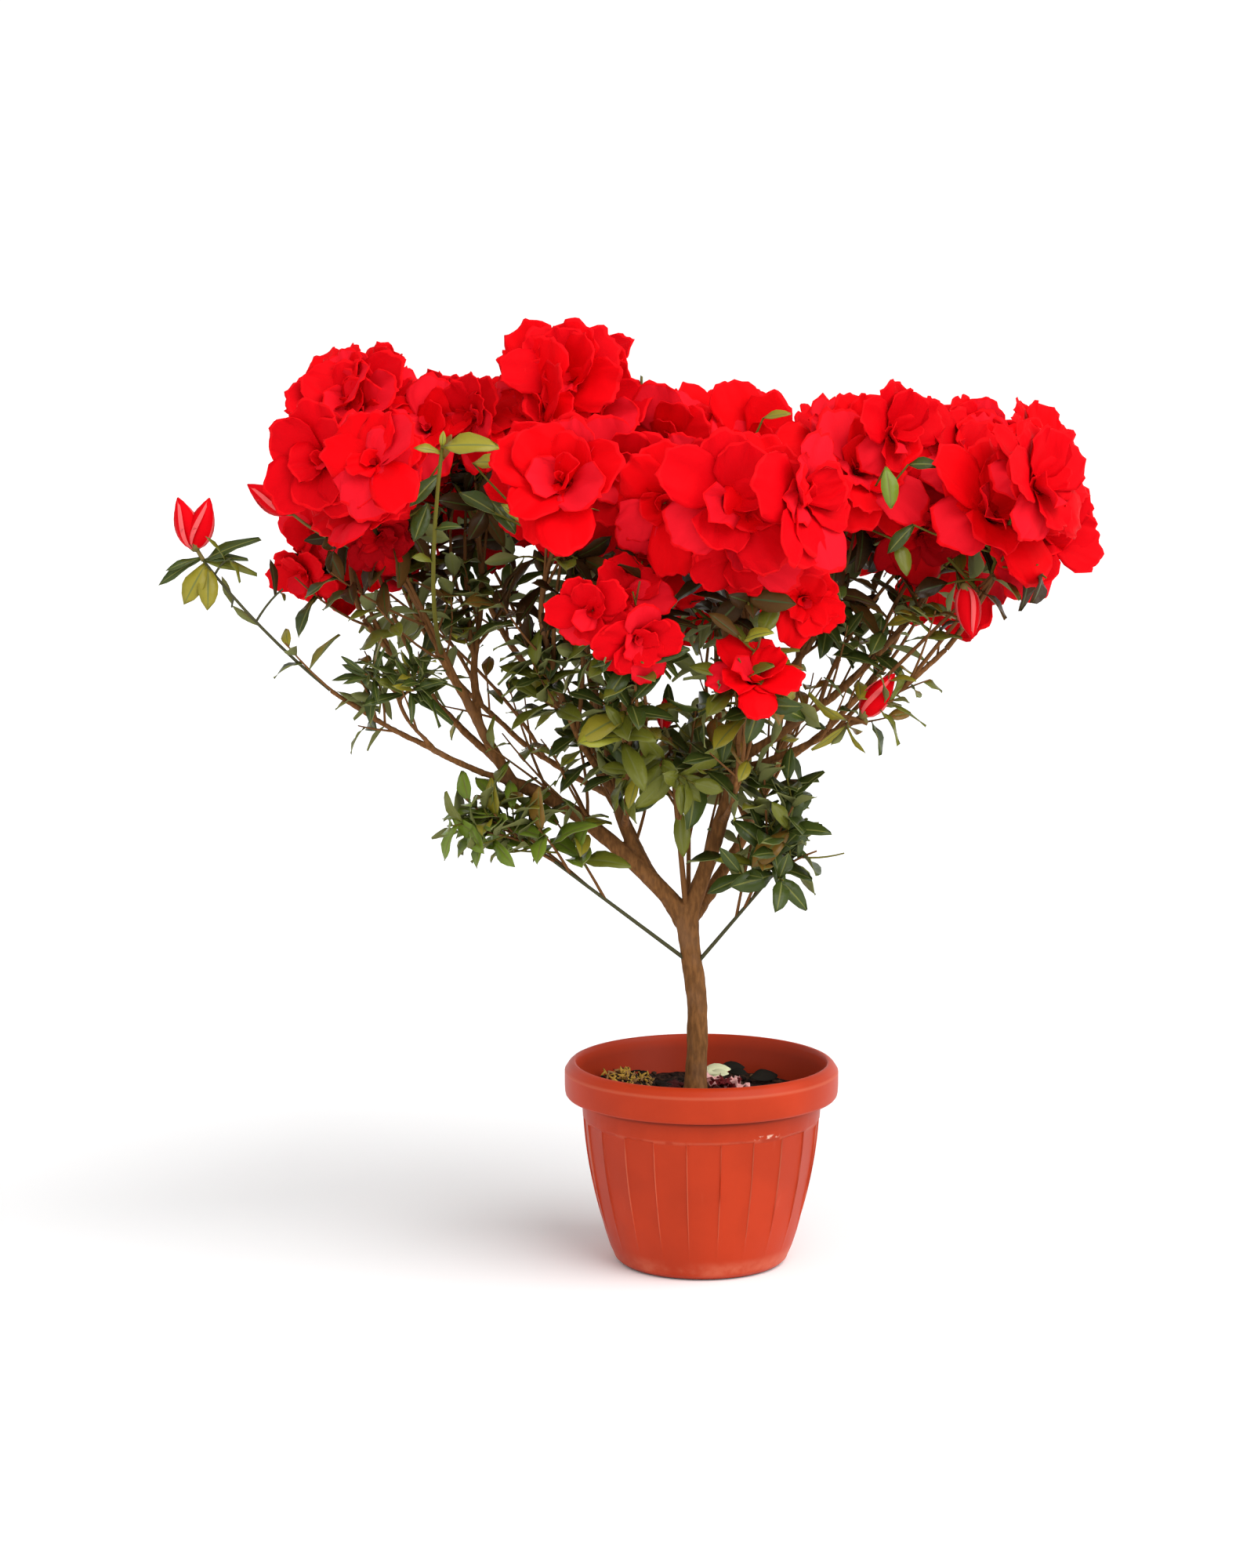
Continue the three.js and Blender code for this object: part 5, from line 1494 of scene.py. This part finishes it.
    def bough_shoots(self, name, foliage):
        """Side shoots along a bough: long and bare below on a thick one, short and leafy on a thin one."""
        line, radius = LIMBS[name]
        fine = stream(BOUGH_SEED + list(LIMBS).index(name))
        thick = radius(0.0) > self.THICK_FROM
        shoots = LEAFY_BOUGHS.get(name, int(line.length / (18 if thick else 24)))
        for k in range(shoots):
            share = (0.2 if thick else 0.45) + (0.75 if thick else 0.52) * next(fine)
            start = line.at(share)
            way = leaning(line.way(share), 0.4 + 0.5 * next(fine), next(fine) * math.tau)
            way = unit(way + np.array((0, 0, 0.9 if thick else 0.35)))
            length = 46 + 45 * next(fine) if thick else 16 + 24 * next(fine)
            shoot = Line(start, start + way * length, drift(fine, 0.16 * length))
            leafy = name in LEAFY_BOUGHS or shoot.points[-1][2] > self.LEAFY_FROM
            foliage.twig(shoot, 0.95 if thick else 0.7, 0.35, BROWN, 6 if thick else 5)
            tone = DEEP if leafy and k % 2 else spray_tone(fine)
            count, size = (5, 1.0) if leafy else (2, 0.75)
            foliage.rosette(shoot, count, size, tone, fine, 0.7 if thick else 0.4)


# Rings of petals: their number, length, angle at the base and at the tip, half width, ruffle, waves,
# columns and rows of the grid, hole in the middle and crumple
RINGS = [
    (5, 37, 42, 98, 16.5, 0.8, 1.9, 14, 6, 1.5, 2.6),
    (4, 31, 36, 84, 15.5, 1.0, 2.1, 12, 5, 1.2, 3.2),
    (2, 22, 26, 62, 12.5, 1.4, 2.4, 9, 4, 0.6, 3.0),
    (2, 12, 10, 46, 7.0, 1.2, 1.6, 5, 3, 0.1, 2.0),
]
PETAL_LOOSE, PETAL_DROOP, PETAL_TWIST = 56, 30, 8
PETAL_EDGE, PETAL_WIDEST, PETAL_THICK, PETAL_STRAY = 0.95, 0.72, 0.3, 0.9
# The share of petals in the rose tone, a painted highlight
ROSY_SHARE = 0.3
# A bloom's faces: a petal's blade, its throat, the calyx, a rosy petal's blade and the edges
IN_BLADE, IN_THROAT, IN_CALYX, IN_ROSY, IN_EDGE = range(5)
BLOOM_SEEDS = (11, 23, 37, 41, 59, 67, 73, 89)


def faces_of(made):
    """The faces that a bmesh operator has just made."""
    return {face for vert in made["verts"] for face in vert.link_faces}


def petal(bm, ring, turn, wave, draw):
    """One broad petal: a narrow claw that widens into a flared, round, ruffled and crumpled blade."""
    _, length, base, tip, wide, ruffle, waves, columns, rows, hole, crumple = ring
    phase, phase2, lift = next(draw) * math.tau, next(draw) * math.tau, next(draw) - 0.5
    length *= 0.82 + 0.32 * next(draw)
    wide *= 0.9 + 0.2 * next(draw)
    twist, hollow = PETAL_TWIST * (next(draw) - 0.5), 6 * next(draw) - 3.6
    drooping = max(0, -math.sin(turn)) ** 2
    tip += PETAL_LOOSE * (next(draw) - 0.5) + PETAL_DROOP * drooping
    base, tip = math.radians(base), math.radians(tip)
    length *= 1 + 0.1 * drooping
    blade = IN_ROSY if next(draw) < ROSY_SHARE else IN_BLADE
    made = bmesh.ops.create_grid(bm, x_segments=columns, y_segments=rows, size=1)
    for face in faces_of(made):
        along = face.calc_center_median().y
        face.material_index = IN_THROAT if along < -0.6 else IN_EDGE if along > 1 - 1.2 / rows else blade
    for vert in made["verts"]:
        across, along = vert.co.x, (vert.co.y + 1) / 2
        if along < 0.999:
            along *= PETAL_EDGE / (1 - 1 / rows)
        along *= 1 - 0.25 * (1 - math.sqrt(1 - (0.98 * across) ** 2)) * along
        along += (0.02 * math.sin(7 * across + phase) + 0.006 * math.sin(13 * across + phase2)) * along**4
        angle = mix(base, tip, along)
        span = tip - base
        radius = hole + length * (math.cos(base) - math.cos(angle)) / span
        height = length * (math.sin(angle) - math.sin(base)) / span
        share = min(1, along / PETAL_WIDEST)
        width = wide * (0.2 + 0.8 * share * share * (3 - 2 * share))
        if along > PETAL_WIDEST:
            width *= 1 - 0.12 * ((along - PETAL_WIDEST) / (1 - PETAL_WIDEST)) ** 2
        edge = 0.2 + 0.8 * abs(across) ** 1.5
        off = wave * ruffle * along**1.6 * edge * math.sin(waves * math.pi * across + phase)
        off += wave * 0.24 * along**4 * math.sin(waves * 2.3 * math.pi * across + phase2)
        off += (twist * across + hollow * across**2 + 3 * lift) * along
        around = turn + across * width / max(radius, 3.2)
        radius -= math.cos(angle) * off
        height += math.sin(angle) * off
        spot = Vector((radius * math.cos(around), radius * math.sin(around), height))
        crease = noise.noise_vector(spot * 0.16 + Vector((phase * 9, phase2 * 9, 0)))
        vert.co = spot + crease * crumple * along


def thicken(bm, thickness):
    """Gives crumpled sheets their thickness, and draws back any corner that a sharp fold throws out."""
    sheet = kdtree.KDTree(len(bm.verts))
    for i, vert in enumerate(bm.verts):
        sheet.insert(vert.co, i)
    sheet.balance()
    bmesh.ops.solidify(bm, geom=bm.faces[:], thickness=thickness)
    for _ in range(3):
        for vert in bm.verts:
            if sheet.find(vert.co)[2] > 3 * thickness:
                nearby = [edge.other_vert(vert).co for edge in vert.link_edges]
                vert.co = sum(nearby, Vector()) / len(nearby)
    bmesh.ops.recalc_face_normals(bm, faces=bm.faces)


def cup(bm, sides, foot, mouth, depth, part):
    """A small closed cup that holds the petals, and its corners."""
    made = bmesh.ops.create_cone(bm, cap_ends=True, segments=sides, radius1=foot, radius2=mouth, depth=depth)
    for face in faces_of(made):
        face.material_index = part
    return made["verts"]


def bloom_shape(seed, wave):
    """A loose double bloom of about 29 mm radius: base at the origin, face along Z, hanging towards -Y."""
    draw = stream(seed)
    bm = bmesh.new()
    for k, ring in enumerate(RINGS):
        for i in range(ring[0]):
            turn = math.tau * (i + 0.5 * (k % 2)) / ring[0] + math.pi / 10
            petal(bm, ring, turn + PETAL_STRAY * (next(draw) - 0.5), wave, draw)
    thicken(bm, PETAL_THICK)
    calyx = cup(bm, 10, 1.0, 3.6, 5, IN_CALYX)
    for i, vert in enumerate(calyx):
        vert.co.z -= 1.6 if vert.co.z > 0 and i % 2 else 2.6
    return Shape(bm)


class AZALEA_OT_blooms(bpy.types.Operator):
    """Make the double blooms of each side of the crown"""

    bl_idname = "azalea.blooms"
    bl_label = "Blooms"

    def execute(self, context):
        sizes = context.scene.azalea
        shapes = [bloom_shape(seed, sizes.petal_wave / MM) for seed in BLOOM_SEEDS]
        for side in SIDES:
            blooms = Joined()
            members = [mass for mass in MASSES if mass.side == side and mass.blooms]
            for mass in members:
                fine = stream(mass.seed + PETAL_SEED)
                for bloom in mass.places + mass.extra:
                    self.set_bloom(bloom, shapes[pick(fine, len(shapes))], blooms, fine)
            piece = blooms.piece(f"azalea_blooms_{side}", petal_finishes(sizes))
            stand_for(piece, [mass.name for mass in members])
        return {"FINISHED"}

    @staticmethod
    def set_bloom(bloom, shape, blooms, fine):
        """One bloom in its place, its longest petals hanging about straight down."""
        face = bloom["look"]
        across = unit(np.cross((0, 0, 1.0), face))
        turn = 1.2 * (next(fine) - 0.5)
        first = across * math.cos(turn) + np.cross(face, across) * math.sin(turn)
        foot = bloom["place"] - face * BLOOM_DEPTH * bloom["radius"]
        # The throat takes painted shade, rose petals a painted highlight, the edges a paler margin with
        # painted rim light
        tones = (pick(fine, 2), THROAT, CALYX, ROSE, EDGE)
        # Painted shade: a covered bloom takes darker tones on all its petals
        if bloom["deep"]:
            tones = (PETAL_SHADE, THROAT, CALYX, THROAT, PETAL_SHADE)
        size = bloom["radius"] / BLOOM_RADIUS
        points = turned(shape.points, first, np.cross(face, first), face, foot, size)
        blooms.add(shape, points, np.array(tones)[shape.finishes])


# A bud's faces, and the petals that wrap it
BUD_PETAL, BUD_EDGE, BUD_SCALE = range(3)
BUD_PETALS = 4


def bud_shape():
    """A shut bud of unit length: pointed petals that wrap over each other, on a small cup of scales."""
    bm = bmesh.new()
    for k in range(BUD_PETALS):
        made = bmesh.ops.create_grid(bm, x_segments=6, y_segments=9, size=1)
        for face in faces_of(made):
            face.material_index = BUD_EDGE if face.calc_center_median().x > 0.6 else BUD_PETAL
        for vert in made["verts"]:
            across, along = vert.co.x, (vert.co.y + 1) / 2
            swell = 0.012 + 0.21 * math.sin(math.pi * min(1, 0.05 + 0.95 * along**0.8)) ** 0.75
            around = k * math.tau / BUD_PETALS + across * 1.2 + 0.5 * along
            radius = swell * (1 + 0.16 * across)
            vert.co = (radius * math.cos(around), radius * math.sin(around), along - 0.05 * across**2 * along)
    bmesh.ops.solidify(bm, geom=bm.faces[:], thickness=0.012)
    bmesh.ops.recalc_face_normals(bm, faces=bm.faces)
    for vert in cup(bm, 9, 0.05, 0.15, 0.16, BUD_SCALE):
        vert.co.z += 0.02
    return Shape(bm)


# Buds beside the masses' own: the mass, how far along its stem the stalk starts, place, way, length
SIDE_BUDS = [
    ("left_front_bloom", 0.6, (-203, -36, 385), (-0.8, -0.2, 0.55), 25),
    ("right_tip_bloom", 0.2, (126, -52, 350), (0.15, -0.1, -1), 26),
]


class AZALEA_OT_buds(bpy.types.Operator):
    """Make the pointed buds at the ends of lone twigs and on stalks beside the blooms"""

    bl_idname = "azalea.buds"
    bl_label = "Buds"

    LENGTH, SPREAD = 26, 0.32

    def execute(self, context):
        sizes = context.scene.azalea
        shape = bud_shape()
        stalk = tube_shape(5, 6)
        buds = Joined()
        for mass in MASSES:
            foot = mass.stem.at(1) + np.array((-2.5, 0, 4))
            if mass.buds:
                line = Line(mass.stem.at(0.97), foot + np.array((0, 0, 1)))
                buds.add(stalk, bend(stalk, line, taper(1.2, 1.0)), BUD_SCALE)
            for i in range(mass.buds):
                side = self.SPREAD * (2 * i - mass.buds + 1) + (0.75 if mass.side == "right" else 0)
                length = self.LENGTH * (0.6 if mass.side == "centre" else 1)
                self.set_bud(buds, shape, foot, np.array((side, -0.1 * i, 1)), length)
            for name, along, place, way, length in SIDE_BUDS:
                if name == mass.name:
                    start = mass.stem.at(along)
                    line = Line(start, place, np.array((0, 0, -0.1)) * np.linalg.norm(place - start))
                    buds.add(stalk, bend(stalk, line, taper(1.0, 0.8)), BUD_SCALE)
                    self.set_bud(buds, shape, np.array(place, float), np.array(way), length)
        finishes = [
            petal_finishes(sizes)[CRIMSON],
            plain("bud_edge", (0.8, 0.1, 0.1), 0.6),
            plain("bud_scale", (0.18, 0.14, 0.04), 0.6),
        ]
        stand_for(buds.piece("azalea_buds", finishes))
        return {"FINISHED"}

    @staticmethod
    def set_bud(buds, shape, root, way, length):
        way = unit(way)
        first, second = square_to(way)
        buds.add(shape, turned(shape.points, first, second, way, root, length))


class AZALEA_OT_stage(bpy.types.Operator):
    """Set a pale floor, soft studio light and the camera"""

    bl_idname = "azalea.stage"
    bl_label = "Stage"

    LIGHTS = [
        ("window", "SUN", (1.0, -0.8, 1.25), 2.85),
        ("fill", "SUN", (-0.6, -0.8, 0.7), 0.35),
    ]
    SOFTNESS = 64
    # The sky's strength at the horizon and overhead, and between which heights it changes
    SKY, SKY_FROM, SKY_TO = (1.08, 0.5), 0.14, 0.6
    FLOOR_SIZE, FLOOR_COLOUR = 40, (0.96, 0.96, 0.96)
    # The photo's camera: its place, how far it looks down, its lens and its sensor
    CAMERA_PLACE, CAMERA_PITCH = (-0.03808, -1.6, 0.45372), 0.1289
    LENS, SENSOR = 73.21, 36

    def execute(self, context):
        scene = context.scene
        bm = bmesh.new()
        bmesh.ops.create_grid(bm, x_segments=2, y_segments=2, size=self.FLOOR_SIZE)
        floor = shaped("floor", bm, [plain("studio_floor", self.FLOOR_COLOUR, 0.9, 0.0, 5.0, 0.0)])
        for name, kind, place, power in self.LIGHTS:
            light = bpy.data.lights.new(name, kind)
            light.angle, light.energy = math.radians(self.SOFTNESS), power
            lamp = bpy.data.objects.new(name, light)
            lamp.location = place
            lamp.rotation_euler = (-Vector(place)).to_track_quat("-Z", "Y").to_euler()
            scene.collection.objects.link(lamp)
        scene.world = self.sky()
        scene.view_settings.view_transform = "Standard"
        lens = bpy.data.cameras.new("photo_view")
        lens.lens, lens.sensor_width = self.LENS, self.SENSOR
        camera = bpy.data.objects.new("photo_view", lens)
        camera.location = self.CAMERA_PLACE
        camera.rotation_euler = (math.pi / 2 - self.CAMERA_PITCH, 0, 0)
        scene.collection.objects.link(camera)
        scene.camera = camera
        return {"FINISHED"}

    def sky(self):
        """White round the horizon and dimmer overhead."""
        world = bpy.data.worlds.new("studio")
        world.use_nodes = True
        sky = Nodes(world.node_tree)
        way = sky.node("TexCoord", {}, {}, "Generated")
        height = sky.node("SeparateXYZ", {}, {"Vector": way}, 2)
        limits = {"Value": height, "From Min": self.SKY_FROM, "From Max": self.SKY_TO}
        limits |= {"To Min": self.SKY[0], "To Max": self.SKY[1]}
        background = world.node_tree.nodes["Background"]
        sky.join((1, 1, 1, 1), background.inputs["Color"])
        sky.join(sky.node("MapRange", {}, limits), background.inputs["Strength"])
        return world


class AZALEA_PT_panel(bpy.types.Panel):
    """Sizes, colours and the steps that build the plant"""

    bl_label = "Azalea Bonsai"
    bl_idname = "AZALEA_PT_panel"
    bl_space_type = "VIEW_3D"
    bl_region_type = "UI"
    bl_category = "Azalea"

    def draw(self, context):
        for name in AzaleaSizes.__annotations__:
            self.layout.prop(context.scene.azalea, name)
        for step in STEPS:
            self.layout.operator(step.bl_idname)


STEPS = (
    AZALEA_OT_pot, AZALEA_OT_soil, AZALEA_OT_wood, AZALEA_OT_foliage,
    AZALEA_OT_blooms, AZALEA_OT_buds, AZALEA_OT_stage,
)


def register():
    for one in (AzaleaSizes, *STEPS, AZALEA_PT_panel):
        bpy.utils.register_class(one)
    bpy.types.Scene.azalea = bpy.props.PointerProperty(type=AzaleaSizes)


def unregister():
    del bpy.types.Scene.azalea
    for one in (AZALEA_PT_panel, *reversed(STEPS), AzaleaSizes):
        bpy.utils.unregister_class(one)


def main():
    register()
    bpy.ops.azalea.pot()
    bpy.ops.azalea.soil()
    bpy.ops.azalea.wood()
    bpy.ops.azalea.foliage()
    bpy.ops.azalea.blooms()
    bpy.ops.azalea.buds()
    bpy.ops.azalea.stage()


if __name__ == "__main__":
    main()
